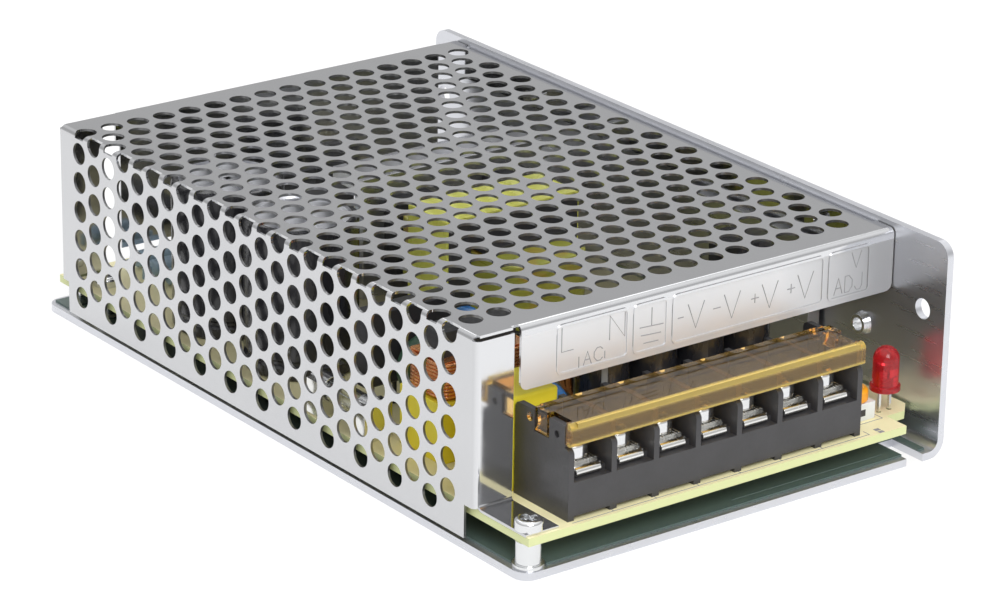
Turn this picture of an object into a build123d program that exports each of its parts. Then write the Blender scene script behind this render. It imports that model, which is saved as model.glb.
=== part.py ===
# Enclosed switching power supply in a perforated sheet-metal case.
# Frame: X runs along the terminal side, Y from the terminals to the rear, Z up.
# The origin is at the middle of the case's footprint, on its underside. Millimetres.
from build123d import *
import os

os.makedirs("parts", exist_ok=True)

# Case: an L-shaped chassis of floor and right wall, and a folded cover.
case_length = 159.0
case_width = 98.0
wall_height = 42.0
chassis_sheet = 1.5
chassis_bend = 2.0
wall_corner_radius = 3.0
floor_corner_radius = 3.0
floor_slot_width = 4.0
floor_slot_depth = 8.5
floor_slot_inset = 5.6

cover_sheet = 0.5
cover_bend = 0.7
cover_drop = 1.0
cover_wall_gap = 0.2
cover_front_setback = 14.5
cover_rear_setback = 6.2
side_panel_lift = 0.7
side_corner_cut = 2.9
front_flange_corner = 1.5
left_flange_width = 8.3
flange_slot = 1.5
tab_inset = 1.1
right_flange_height = 7.0
right_flange_end_inset = 5.0
flange_over_block = 2.9
flange_relief = 0.4
tab_front_inset = 0.6
rear_flange_height = 6.0
rear_panel_lift = 10.5
rear_panel_start = 14.0
rear_right_gap = 4.0
rear_flange_width = 10.0
rear_slot = 3.0
tongue_width = 5.0
tongue_shift = 1.5
tongue_slack = 0.3
tongue_lift = 0.3

# Pressed frames round the terminal marks on the front flange.
emboss_width = 0.5
emboss_height = 0.2
emboss_corner = 1.2
emboss_top_margin = 1.6
emboss_low_margin = 1.0
frame_start = 6.6
frame_gap = 1.0
line_frame_width = 16.1
earth_frame_width = 7.9
adjuster_frame_width = 10.2
adjuster_frame_inset = 5.7

# Perforation: staggered rows that run on over the left fold.
hole_diameter = 4.4
hole_pitch = 6.03
row_pitch = 5.33
row_end_margin = 6.6
fold_to_first_hole = 1.63
fold_to_side_hole = 1.1
right_hole_margin = 1.9
side_low_margin = 4.3
fold_slack = 0.05

# Fixing holes of the case.
wall_hole_diameter = 4.0
wall_hole_front_inset = 6.0
wall_hole_rear_inset = 3.0
wall_hole_height = 27.7
floor_hole_diameter = 3.0
floor_hole_inset_x = 24.0
floor_hole_inset_y = 19.5
cover_screw_inset = 35.5
cover_screw_drop = 5.4
cover_screw_protrusion = 2.0
flush_recess_depth = 0.8
flush_recess_span = 2.6
flush_recess_width = 0.6
wall_nut_setback = 7.5
wall_nut_height = 19.8
wall_nut_diameter = 4.8
wall_nut_mouth = 3.8
wall_nut_shank = 4.0
wall_nut_bore = 2.5
wall_nut_stand = 1.5

# Board, film and standoffs.
film_thickness = 0.4
film_edge_inset = 1.4
film_hole_gap = 0.2
standoff_diameter = 4.8
standoff_height = 5.0
standoff_foot = 5.8
standoff_foot_height = 0.7
spigot_diameter = 3.2
board_thickness = 1.6
board_left_inset = 1.3
board_right_gap = 0.7
board_front_inset = 0.3
board_rear_inset = 3.5
board_step_from_wall = 7.8
board_step_depth = 5.6
board_chamfer = 2.6
screw_diameter = 3.0
screw_fit = 0.1
screw_end_gap = 0.5
screw_head_diameter = 5.2
screw_head_height = 2.0
corner_screw_inset_x = 3.4
corner_screw_inset_y = 3.1
rear_screw_inset_x = 6.0
rear_screw_inset_y = 13.5
right_screw_inset_y = 21.5

# Screw heads: rounding and cross recess as shares of the head.
head_rounding = 0.4
recess_depth = 0.5
recess_span = 0.6
recess_width = 0.17
countersink_share = 0.8

# Terminal block.
terminal_pitch = 9.5
divider = 1.2
block_left_inset = 11.0
block_right_room = 19.0
block_reach = 12.6
block_behind_cover_face = 3.0
sill_height = 7.2
plate_seat = 1.0
seat_inset = 1.9
screw_well_gap = 0.4
divider_front_height = 13.6
divider_height = 16.5
end_wall_height = 17.8
block_rear_wall = 1.4
block_rear_height = 15.0
foot_height = 0.8
foot_width = 1.6
divider_setback = 1.3
divider_rounding = 1.2
end_hole_diameter = 1.3
end_hole_depth = 0.6
end_hole_inset = 3.6
end_hole_drop = 2.3

# Terminals.
plate_thickness = 0.8
plate_width = 6.4
plate_lip_width = 5.4
plate_lip_radius = 0.85
plate_lip_sheet = 0.5
clamp_side = 6.6
clamp_corner = 0.6
clamp_thickness = 0.9
terminal_screw_diameter = 3.4
terminal_head_diameter = 5.8
terminal_head_height = 2.6
terminal_screw_length = 6.5
terminal_screw_reach = 6.3
running_fit = 0.05

# Hinged terminal cover.
lid_thickness = 1.4
lid_clearance = 0.6
lid_front_reach = 0.5
lid_skirt = 1.5
lid_skirt_drop = 2.9
lid_front_rounding = 1.3
lid_skirt_rounding = 0.4
lid_rear_setback = 2.2
lid_side_gap = 0.2
pivot_setback = 1.2
pivot_drop = 2.4
pivot_diameter = 1.6
pivot_boss = 3.0
arm_width = 1.0
arm_root = 2.6
arm_sink = 0.2
arm_half = 0.95
notch_front = 6.8
notch_rear = 2.5
notch_drop = 4.6
ear_gap = 0.3
ear_swing_radius = 2.4

# Indicator lamp and trimmer.
led_diameter = 5.0
led_flange = 5.8
led_flange_height = 1.0
led_height = 8.6
led_lift = 4.3
led_lead = 0.5
led_lead_spacing = 2.54
led_lead_tail = 1.0
led_from_wall = 6.3
led_setback = 6.2
trimmer_side = 6.6
trimmer_height = 3.4
trimmer_corner = 0.5
trimmer_gap = 1.3
trimmer_setback = 4.7
rotor_diameter = 4.6
rotor_cap_diameter = 6.2
rotor_cap_height = 2.4
rotor_slot = 0.8
rotor_slot_depth = 0.8
rotor_chamfer = 0.5
rotor_well = 1.0
rotor_fit = 0.1

# Spots on the board: shares of its width from the left edge, and of the room from the
# terminal block to the board's rear edge.
bulk_spot = (0.145, 0.525)
output_cans_spot = (0.3565, 0.0435)
choke_spot = (0.177, 0.170)
box_cap_share = 0.1398
front_disc_share = 0.237
rear_disc_spot = (0.341, 0.319)
fuse_spot = (0.037, 0.304)
thermistor_spot = (0.187, 0.275)
bridge_spot = (0.198, 0.344)
toroid_spot = (0.5895, 0.1957)
transformer_spot = (0.555, 0.4616)
output_sink_share = 0.261
primary_sink_spot = (0.674, 0.6775)
chip_spot = (0.362, 0.797)
driver_spot = (0.674, 0.8005)
left_opto_spot = (0.822, 0.42)
right_opto_spot = (0.917, 0.42)
left_film_cap_spot = (0.441, 0.9275)
middle_film_cap_spot = (0.611, 0.9275)
right_film_cap_spot = (0.801, 0.855)
rear_resistor_share = 0.198
rear_resistor_rows = (0.870, 0.913, 0.956)
corner_resistor_spot = (0.780, 0.9275)
front_resistor_share = 0.822
front_resistor_rows = (0.348, 0.290)

# Transformer.
core_width = 30.5
core_depth = 13.5
core_headroom = 4.5
core_lift = 2.0
core_leg = 5.0
core_centre_leg = 9.0
tape_thickness = 0.5
tape_margin = 0.5
winding_overhang = 12.5
winding_slack = 0.6
winding_corner = 4.9
bobbin_wall = 0.8
bobbin_flange = 4.0
bobbin_slack = 0.1
winding_fit = 0.3

# Electrolytic cans.
bulk_diameter = 22.0
bulk_headroom = 2.4
bulk_spacing = 25.0
output_can_diameter = 10.0
output_can_height = 20.0
output_can_count = 4
output_can_spacing = 11.0
can_rounding = 0.12
can_groove_share = 0.1
can_groove_radius = 0.6
can_groove_depth = 0.35

# Line filter.
choke_width = 17.0
choke_depth = 6.0
choke_height = 17.0
choke_leg = 4.5
choke_coil = 12.0
choke_coil_height = 7.4
choke_coil_layer = 1.6
choke_coil_corner = 2.3
choke_base_height = 11.6
choke_base_rim_x = 2.0
choke_base_rim_y = 0.5
choke_sink = 0.3
box_cap_width = 13.0
box_cap_depth = 11.5
box_cap_height = 18.0
box_cap_corner = 0.6
behind_block_gap = 0.5
disc_diameter = 12.0
disc_thickness = 4.0
disc_edge = 1.4
disc_lift = 4.0
disc_lead = 0.8
disc_lead_spacing = 6.0
fuse_diameter = 5.2
fuse_length = 20.0
fuse_cap_length = 5.0
fuse_lift = 5.2
fuse_tube_inset = 0.8
fuse_glass = 0.6
fuse_cap_wall = 0.3
clip_wall = 0.5
clip_length = 3.6
clip_mouth = 3.64

# Output choke, heat sinks and power parts.
toroid_outer = 11.5
toroid_inner = 6.5
toroid_height = 9.0
toroid_edge = 0.8
toroid_gap = 6.0
wire_layer = 1.3
wire_slack = 0.1
sink_thickness = 3.0
sink_headroom = 7.4
output_sink_length = 40.0
primary_sink_length = 44.0
primary_sink_foot = 9.0
package_width = 10.0
package_height = 15.5
package_thickness = 4.5
package_lift = 5.0
package_chamfer = 0.5
package_lead = 0.8
package_lead_thickness = 0.6
package_lead_sink = 0.5
package_lead_spacing = 2.54
transistor_spacing = 23.8
bridge_width = 20.0
bridge_height = 15.0
bridge_thickness = 4.0
bridge_lead_spacing = 5.08

# Control side of the board.
chip_width = 6.4
chip_length = 20.0
chip_height = 3.4
chip_lift = 0.7
chip_chamfer = 0.4
chip_leg_width = 0.6
chip_leg_sink = 0.1
chip_leg_reach = 0.5
chip_leg_count = 8
opto_width = 5.4
opto_length = 4.6
opto_leg_count = 2
driver_lift = 1.5
driver_core_width = 16.0
driver_core_depth = 5.0
driver_core_height = 14.0
driver_coil_width = 9.0
driver_coil_depth = 12.0
driver_coil_height = 8.6
driver_coil_corner = 1.5
film_cap_width = 11.0
film_cap_depth = 5.0
film_cap_height = 9.5
film_cap_corner = 0.5
resistor_diameter = 3.4
resistor_rounding = 0.68
resistor_length = 9.5
resistor_lift = 0.3
resistor_wire = 0.7
resistor_wire_reach = 1.5

# Derived planes.
left = -case_width / 2
right = case_width / 2
front = -case_length / 2
rear = case_length / 2
wall_inner = right - chassis_sheet
cover_top = wall_height - cover_drop
cover_under = cover_top - cover_sheet
cover_right = wall_inner - cover_wall_gap
cover_front = front + cover_front_setback
cover_rear = rear - cover_rear_setback
side_bottom = chassis_sheet + side_panel_lift
film_top = chassis_sheet + film_thickness
board_bottom = chassis_sheet + standoff_height
board_top = board_bottom + board_thickness
board_left = left + board_left_inset
board_right = wall_inner - board_right_gap
board_front = front + board_front_inset
board_rear = rear - board_rear_inset
board_step_x = wall_inner - board_step_from_wall
fold = cover_bend + cover_sheet
tab_top = board_top + cover_sheet
tab_right = left + left_flange_width
sink_top = cover_under - sink_headroom
tongue_x = left + rear_flange_width / 2 + tongue_shift
tongue_rear = cover_rear - cover_sheet

screw_spots = [
    (left + corner_screw_inset_x, front + corner_screw_inset_y),
    (left + rear_screw_inset_x, rear - rear_screw_inset_y),
    (wall_inner - rear_screw_inset_x, rear - rear_screw_inset_y),
    (wall_inner - rear_screw_inset_x, front + right_screw_inset_y),
]
floor_holes = [(sx * (right - floor_hole_inset_x), sy * (rear - floor_hole_inset_y))
               for sx in (-1, 1) for sy in (-1, 1)]
wall_hole_ys = (front + wall_hole_front_inset, rear - wall_hole_rear_inset)
cover_screw_ys = (front + cover_screw_inset, rear - cover_screw_inset)
cover_screw_height = wall_height - cover_screw_drop

terminal_count = int((case_width - block_left_inset - block_right_room - divider) / terminal_pitch)
block_left = left + block_left_inset
block_right = block_left + terminal_count * terminal_pitch + divider
block_front = cover_front - block_reach
block_rear = cover_front + block_behind_cover_face
seat_front = block_front + seat_inset
front_flange_low = board_top + end_wall_height + flange_over_block
sill_top = board_top + sill_height
seat_top = sill_top + plate_seat
plate_top = seat_top + plate_thickness
clamp_top = plate_top + clamp_thickness
screw_y = cover_front - terminal_screw_reach
bay_centres = [block_left + divider / 2 + terminal_pitch * (i + 0.5) for i in range(terminal_count)]

lid_under = board_top + divider_height + lid_clearance
lid_top = lid_under + lid_thickness
lid_front = block_front - lid_front_reach
lid_rear = cover_front - lid_rear_setback
pivot_y = cover_front - pivot_setback
pivot_z = lid_top - pivot_drop


def board_x(share):
    """X of a share of the board's width."""
    return board_left + share * (board_right - board_left)


def board_y(share):
    """Y of a share of the room between the terminal block and the board's rear edge."""
    return block_rear + share * (board_rear - block_rear)


def board_spot(shares):
    """X and Y of a spot on the board."""
    return board_x(shares[0]), board_y(shares[1])


def block(x0, x1, y0, y1, z0, z1):
    """A box between two corners."""
    return Pos((x0 + x1) / 2, (y0 + y1) / 2, (z0 + z1) / 2) * Box(x1 - x0, y1 - y0, z1 - z0)


def post(x, y, z0, z1, radius):
    """An upright round bar."""
    return Pos(x, y, (z0 + z1) / 2) * Cylinder(radius, z1 - z0)


def bar_x(x0, x1, y, z, radius):
    """A round bar along X."""
    return Pos((x0 + x1) / 2, y, z) * Rot(0, 90, 0) * Cylinder(radius, x1 - x0)


def bar_y(x, y0, y1, z, radius):
    """A round bar along Y."""
    return Pos(x, (y0 + y1) / 2, z) * Rot(90, 0, 0) * Cylinder(radius, y1 - y0)


def fold_x(x0, x1, y, z, inner, sheet, start):
    """A quarter-round fold along X about the line (y, z), from the angle start to start + 90."""
    ring = bar_x(x0, x1, y, z, inner + sheet) - bar_x(x0 - 1, x1 + 1, y, z, inner)
    size = inner + sheet
    sy = 1 if start in (0, 270) else -1
    sz = 1 if start in (0, 90) else -1
    corner = block(x0, x1, min(y, y + sy * size), max(y, y + sy * size),
                   min(z, z + sz * size), max(z, z + sz * size))
    return ring & corner


def fold_y(y0, y1, x, z, inner, sheet, start):
    """A quarter-round fold along Y about the line (x, z)."""
    ring = bar_y(x, y0, y1, z, inner + sheet) - bar_y(x, y0 - 1, y1 + 1, z, inner)
    size = inner + sheet
    sx = 1 if start in (0, 270) else -1
    sz = 1 if start in (0, 90) else -1
    corner = block(min(x, x + sx * size), max(x, x + sx * size), y0, y1,
                   min(z, z + sz * size), max(z, z + sz * size))
    return ring & corner


def fold_z(z0, z1, x, y, inner, sheet, start):
    """A quarter-round fold along Z about the line (x, y)."""
    ring = post(x, y, z0, z1, inner + sheet) - post(x, y, z0 - 1, z1 + 1, inner)
    size = inner + sheet
    sx = 1 if start in (0, 270) else -1
    sy = 1 if start in (0, 90) else -1
    corner = block(min(x, x + sx * size), max(x, x + sx * size),
                   min(y, y + sy * size), max(y, y + sy * size), z0, z1)
    return ring & corner


def plate_with_holes(outline, holes, plane, thickness):
    """A flat sheet: its outline and round holes in a plane, thickened along the plane's normal."""
    corners = [plane.from_local_coords(Vector(u, v, 0)) for u, v in outline]
    edge = Wire.make_polygon(corners, close=True)
    rounds = [Wire.make_circle(radius, Plane(plane.from_local_coords(Vector(u, v, 0)),
                                             x_dir=plane.x_dir, z_dir=plane.z_dir))
              for u, v, radius in holes]
    return Solid.extrude(Face(edge, rounds), plane.z_dir * thickness)


def save(shape, node):
    """Write one node's solids."""
    parts = shape if isinstance(shape, list) else [shape]
    solids = [solid for piece in parts for solid in piece.solids()]
    export_step(solids[0] if len(solids) == 1 else Compound(children=solids), f"parts/{node}.step")


def make_chassis():
    """Floor and right wall, folded from one sheet."""
    flat_right = wall_inner - chassis_bend
    floor_rounds = [(x, y, floor_hole_diameter / 2) for x, y in floor_holes]
    floor_rounds += [(x, y, spigot_diameter / 2) for x, y in screw_spots]
    outline = [(left, front), (flat_right, front), (flat_right, rear), (left, rear)]
    floor = plate_with_holes(outline, floor_rounds, Plane.XY, chassis_sheet)
    slot_right = wall_inner - chassis_bend - floor_slot_inset + floor_slot_width
    floor -= block(slot_right - floor_slot_width, slot_right, front - 1, front + floor_slot_depth,
                   -1, chassis_sheet + 1)
    floor -= tongue_opening(-1, chassis_sheet + 1)
    floor = fillet(floor.edges().filter_by(Axis.Z).filter_by_position(Axis.X, left - 0.1, left + 0.1),
                   floor_corner_radius)
    wall_holes = [(y, wall_hole_height, wall_hole_diameter / 2) for y in wall_hole_ys]
    wall_holes += [(y, cover_screw_height, (screw_diameter + screw_fit) / 2) for y in cover_screw_ys]
    wall_holes += [(cover_front + wall_nut_setback, wall_nut_height, wall_nut_shank / 2)]
    wall_low = chassis_sheet + chassis_bend
    wall = plate_with_holes([(front, wall_low), (rear, wall_low), (rear, wall_height),
                             (front, wall_height)], wall_holes,
                            Plane((wall_inner, 0, 0), x_dir=(0, 1, 0), z_dir=(1, 0, 0)), chassis_sheet)
    wall = fillet(wall.edges().filter_by(Axis.X).group_by(Axis.Z)[-1], wall_corner_radius)
    for y in cover_screw_ys:
        wall -= flush_head(y)
    bend = fold_y(front, rear, flat_right, wall_low, chassis_bend, chassis_sheet, 270)
    return floor + bend + wall


def flush_head(y):
    """The cone of a flush screw's head, let into the wall's outside."""
    depth = chassis_sheet * countersink_share
    cone = Cone(screw_diameter / 2, screw_diameter / 2 + depth, depth)
    return Pos(right - depth / 2, y, cover_screw_height) * Rot(0, 90, 0) * cone


def tongue_opening(z0, z1):
    """The slot that takes the cover's rear tongue."""
    return block(tongue_x - tongue_width / 2 - tongue_slack, tongue_x + tongue_width / 2 + tongue_slack,
                 tongue_rear - tongue_slack, cover_rear + tongue_slack, z0, z1)


def hole_rows():
    """Row positions along Y, front to rear, each with its stagger."""
    span = cover_rear - cover_front - 2 * row_end_margin
    count = int(span / row_pitch) + 1
    first = (cover_front + cover_rear - (count - 1) * row_pitch) / 2
    return [(first + i * row_pitch, i % 2 == 0) for i in range(count)]


def top_hole_xs(staggered):
    """X positions of one row of top holes."""
    start = left + fold_to_first_hole + (hole_pitch / 2 if staggered else 0)
    last = cover_right - right_hole_margin - hole_diameter / 2
    return [start + i * hole_pitch for i in range(int((last - start) / hole_pitch + 0.001) + 1)]


def side_hole_zs(staggered):
    """Heights of one row of side holes, from the fold down."""
    start = cover_top - fold_to_side_hole - (0 if staggered else hole_pitch / 2)
    last = side_bottom + side_low_margin
    return [start - i * hole_pitch for i in range(int((start - last) / hole_pitch + 0.001) + 1)]


def make_cover():
    """Top, left side and end flanges, folded from one perforated sheet."""
    radius = hole_diameter / 2
    inner_left = left + fold
    inner_right = cover_right - fold
    inner_front = cover_front + fold
    inner_rear = cover_rear - fold
    fold_low = cover_top - fold

    top_holes, side_holes, fold_cuts = [], [], []
    for y, staggered in hole_rows():
        for x in top_hole_xs(staggered):
            if x - radius > inner_left + fold_slack:
                top_holes.append((x, y, radius))
            else:
                fold_cuts.append(post(x, y, fold_low, cover_top + 1, radius))
                unfolded = cover_top + (x - left)
                fold_cuts.append(bar_x(left - 1, inner_left, y, unfolded, radius))
        for z in side_hole_zs(staggered):
            if z + radius < fold_low - fold_slack:
                side_holes.append((y, z, radius))
            else:
                fold_cuts.append(bar_x(left - 1, inner_left, y, z, radius))
                unfolded = left - (cover_top - z)
                fold_cuts.append(post(unfolded, y, fold_low, cover_top + 1, radius))

    top = plate_with_holes([(inner_left, inner_front), (inner_right, inner_front),
                            (inner_right, inner_rear), (inner_left, inner_rear)],
                           top_holes, Plane((0, 0, cover_under)), cover_sheet)
    cut_y = cover_front + side_corner_cut
    tail_y = cover_rear - side_corner_cut
    side = plate_with_holes([(inner_front, tab_top), (cut_y, tab_top), (cut_y, side_bottom),
                             (tail_y, side_bottom), (tail_y, tab_top), (inner_rear, tab_top),
                             (inner_rear, fold_low), (inner_front, fold_low)], side_holes,
                            Plane((left, 0, 0), x_dir=(0, 1, 0), z_dir=(1, 0, 0)), cover_sheet)
    corner = fold_y(inner_front, inner_rear, inner_left, fold_low, cover_bend, cover_sheet, 90)
    cover = (top + [side, corner]) - fold_cuts
    return cover + [front_flange(), left_flange(), right_flange(), rear_flange()]


def front_flange():
    """The embossed flange over the terminals, folded down from the top."""
    x0 = left + left_flange_width + flange_slot
    x1 = cover_right
    plate = block(x0, x1, cover_front, cover_front + cover_sheet, front_flange_low, cover_top - fold)
    plate = fillet(plate.edges().filter_by(Axis.Y).group_by(Axis.Z)[0], front_flange_corner)
    frame_low = front_flange_low + emboss_low_margin
    frame_high = cover_top - emboss_top_margin
    tall = frame_high - frame_low
    for fx0, fx1 in emboss_frames():
        rim = Pos((fx0 + fx1) / 2, cover_front, (frame_low + frame_high) / 2) * Rot(90, 0, 0)
        outer = RectangleRounded(fx1 - fx0, tall, emboss_corner)
        inner = RectangleRounded(fx1 - fx0 - 2 * emboss_width, tall - 2 * emboss_width,
                                 emboss_corner - emboss_width)
        plate += rim * extrude(outer - inner, emboss_height)
    bend = fold_x(x0, x1, cover_front + fold, cover_top - fold, cover_bend, cover_sheet, 90)
    lip = block(inner_right_edge(), x1, cover_front + fold, cover_front + right_flange_end_inset,
                cover_under, cover_top)
    corner = block(left + fold, x0 - flange_slot, cover_front + cover_sheet, cover_front + fold,
                   cover_under, cover_top)
    return plate + bend + lip + corner


def inner_right_edge():
    """Where the top's flat ends and its right fold begins."""
    return cover_right - fold


def emboss_frames():
    """Left and right ends of the pressed frames round the terminal marks."""
    line_end = block_left + frame_start + line_frame_width
    earth_end = line_end + frame_gap + earth_frame_width
    adjuster_end = cover_right - adjuster_frame_inset
    adjuster_start = adjuster_end - adjuster_frame_width
    return [(block_left + frame_start, line_end), (line_end + frame_gap, earth_end),
            (earth_end + frame_gap, adjuster_start - frame_gap), (adjuster_start, adjuster_end)]


def left_flange():
    """The narrow front flange and the tab that the corner screw holds down."""
    z1 = cover_under - flange_relief
    plate = block(left + fold, tab_right, cover_front, cover_front + cover_sheet, tab_top + cover_bend, z1)
    bend = fold_z(tab_top, z1, left + fold, cover_front + fold, cover_bend, cover_sheet, 180)
    foot = fold_x(left + tab_inset, tab_right, cover_front - cover_bend, tab_top + cover_bend,
                  cover_bend, cover_sheet, 270)
    tab = block(left + tab_inset, tab_right, board_front + tab_front_inset, cover_front - cover_bend,
                board_top, tab_top)
    tab -= post(*screw_spots[0], board_top - 1, tab_top + 1, (screw_diameter + screw_fit) / 2)
    return plate + bend + foot + tab


def right_flange():
    """The inner flange that the two flush screws hold to the wall."""
    y0 = cover_front + right_flange_end_inset
    y1 = cover_rear - right_flange_end_inset
    x0 = inner_right_edge()
    plate = block(cover_right - cover_sheet, cover_right, y0, y1,
                  cover_top - right_flange_height, cover_top - fold)
    for y in cover_screw_ys:
        plate -= bar_x(x0, right, y, cover_screw_height, (screw_diameter + screw_fit) / 2)
    bend = fold_y(y0, y1, x0, cover_top - fold, cover_bend, cover_sheet, 0)
    return plate + bend + block(x0, cover_right, y1, cover_rear - fold, cover_under, cover_top)


def rear_flange():
    """The rear flange, stepped up at its left, and the tongue that stands in the floor's slot."""
    x0 = left + rear_flange_width + rear_slot
    x1 = cover_right - rear_right_gap
    step_x = left + rear_panel_start
    step_z = cover_top - rear_flange_height
    low = chassis_sheet + rear_panel_lift
    outline = [(x0, step_z), (step_x, step_z), (step_x, low), (x1, low), (x1, cover_top - fold),
               (x0, cover_top - fold)]
    plate = plate_with_holes(outline, [], Plane((0, cover_rear, 0), x_dir=(1, 0, 0), z_dir=(0, -1, 0)),
                             cover_sheet)
    bend = fold_x(x0, x1, cover_rear - fold, cover_top - fold, cover_bend, cover_sheet, 0)
    z1 = cover_under - flange_relief
    strip = block(left + fold, left + rear_flange_width, tongue_rear, cover_rear, tab_top, z1)
    corner = fold_z(tab_top, z1, left + fold, cover_rear - fold, cover_bend, cover_sheet, 90)
    tongue = block(tongue_x - tongue_width / 2, tongue_x + tongue_width / 2,
                   tongue_rear, cover_rear, tongue_lift, tab_top)
    return plate + bend + strip + corner + tongue


def make_film():
    """Insulating film on the chassis floor."""
    outline = [(left + film_edge_inset, front + film_edge_inset),
               (wall_inner - chassis_bend, front + film_edge_inset),
               (wall_inner - chassis_bend, rear - film_edge_inset),
               (left + film_edge_inset, rear - film_edge_inset)]
    rounds = [(x, y, floor_hole_diameter) for x, y in floor_holes]
    film = plate_with_holes(outline, rounds, Plane((0, 0, chassis_sheet)), film_thickness)
    slot_left = wall_inner - chassis_bend - floor_slot_inset
    film -= block(slot_left, slot_left + floor_slot_width, front, front + floor_slot_depth,
                  chassis_sheet - 1, film_top + 1)
    for x, y in screw_spots:
        film -= post(x, y, chassis_sheet - 1, film_top + 1, standoff_foot / 2 + film_hole_gap)
    film -= tongue_opening(chassis_sheet - 1, film_top + 1)
    return film


def make_board():
    """The circuit board, stepped back at its right front corner."""
    step_y = board_front + board_step_depth
    outline = [(board_left, board_front), (board_step_x, board_front), (board_step_x, step_y),
               (board_right - board_chamfer, step_y), (board_right, step_y + board_chamfer),
               (board_right, board_rear), (board_left, board_rear)]
    rounds = [(x, y, screw_diameter / 2 + screw_fit) for x, y in screw_spots]
    rounds += [(x, led_y(), led_lead) for x in led_lead_xs()]
    board = plate_with_holes(outline, rounds, Plane((0, 0, board_bottom)), board_thickness)
    return board - block(tongue_x - tongue_width / 2 - 2 * tongue_slack,
                         tongue_x + tongue_width / 2 + 2 * tongue_slack,
                         tongue_rear - 2 * tongue_slack, rear,
                         board_bottom - 1, board_top + 1)


def make_standoffs():
    """Round standoffs, each with a foot ring on the floor and a spigot swaged in it."""
    pieces = []
    for x, y in screw_spots:
        body = post(x, y, chassis_sheet, board_bottom, standoff_diameter / 2)
        body += post(x, y, chassis_sheet, chassis_sheet + standoff_foot_height, standoff_foot / 2)
        body += post(x, y, 0, chassis_sheet, spigot_diameter / 2)
        body -= post(x, y, chassis_sheet, board_bottom + 1, (screw_diameter + screw_fit) / 2)
        pieces.append(body)
    return pieces


def cross_recess(depth, span, width):
    """A cross-shaped driver recess, sunk below z = 0 and open above it."""
    bar = block(-span / 2, span / 2, -width / 2, width / 2, -depth, depth)
    return bar + Rot(0, 0, 90) * bar


def pan_screw(under_head, length, head_diameter, head_height, shank_diameter):
    """An upright pan-head screw about the Z axis."""
    head = Pos(0, 0, under_head + head_height / 2) * Cylinder(head_diameter / 2, head_height)
    head = fillet(head.edges().group_by(Axis.Z)[-1], head_height * head_rounding)
    head += Pos(0, 0, under_head - length / 2) * Cylinder(shank_diameter / 2, length)
    recess = cross_recess(head_height * recess_depth, head_diameter * recess_span,
                          head_diameter * recess_width)
    return head - Pos(0, 0, under_head + head_height) * recess


def make_board_screws():
    """The screws that hold the board, the front one also the cover's tab."""
    pieces = []
    for i, (x, y) in enumerate(screw_spots):
        under = tab_top if i == 0 else board_top
        length = under - chassis_sheet - screw_end_gap
        pieces.append(Pos(x, y, 0) * pan_screw(under, length, screw_head_diameter,
                                               screw_head_height, screw_diameter))
    return pieces


def make_cover_screws():
    """Flush screws through the wall into the cover's right flange."""
    pieces = []
    tip = cover_right - cover_sheet - cover_screw_protrusion
    recess = cross_recess(flush_recess_depth, flush_recess_span, flush_recess_width)
    for y in cover_screw_ys:
        shank = bar_x(tip, right - chassis_sheet * countersink_share, y, cover_screw_height,
                      screw_diameter / 2)
        cut = Pos(right, y, cover_screw_height) * Rot(0, 90, 0) * recess
        pieces.append(flush_head(y) + shank - cut)
    return pieces


def make_wall_nut():
    """Flared nut pressed into the wall."""
    y = cover_front + wall_nut_setback
    flare = (Pos(wall_inner - wall_nut_stand / 2, y, wall_nut_height) * Rot(0, 90, 0)
             * Cone(wall_nut_mouth / 2, wall_nut_diameter / 2, wall_nut_stand))
    shank = bar_x(wall_inner, right, y, wall_nut_height, wall_nut_shank / 2)
    bore = bar_x(wall_inner - wall_nut_stand - 1, right + 1, y, wall_nut_height, wall_nut_bore / 2)
    return flare + shank - bore


def divider_outline(height):
    """Side outline of a divider or end wall: low and forward at the front, high behind the lid's skirt."""
    shoulder = board_top + divider_front_height
    return [(block_front, board_top), (block_front, shoulder), (block_front + divider_setback, shoulder),
            (block_front + divider_setback, board_top + height), (block_rear, board_top + height),
            (block_rear, board_top)]


def side_plate(outline, x0, x1):
    """A flat piece with its outline in the YZ plane, from x0 to x1."""
    return plate_with_holes(outline, [], Plane((x0, 0, 0), x_dir=(0, 1, 0), z_dir=(1, 0, 0)), x1 - x0)


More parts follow.
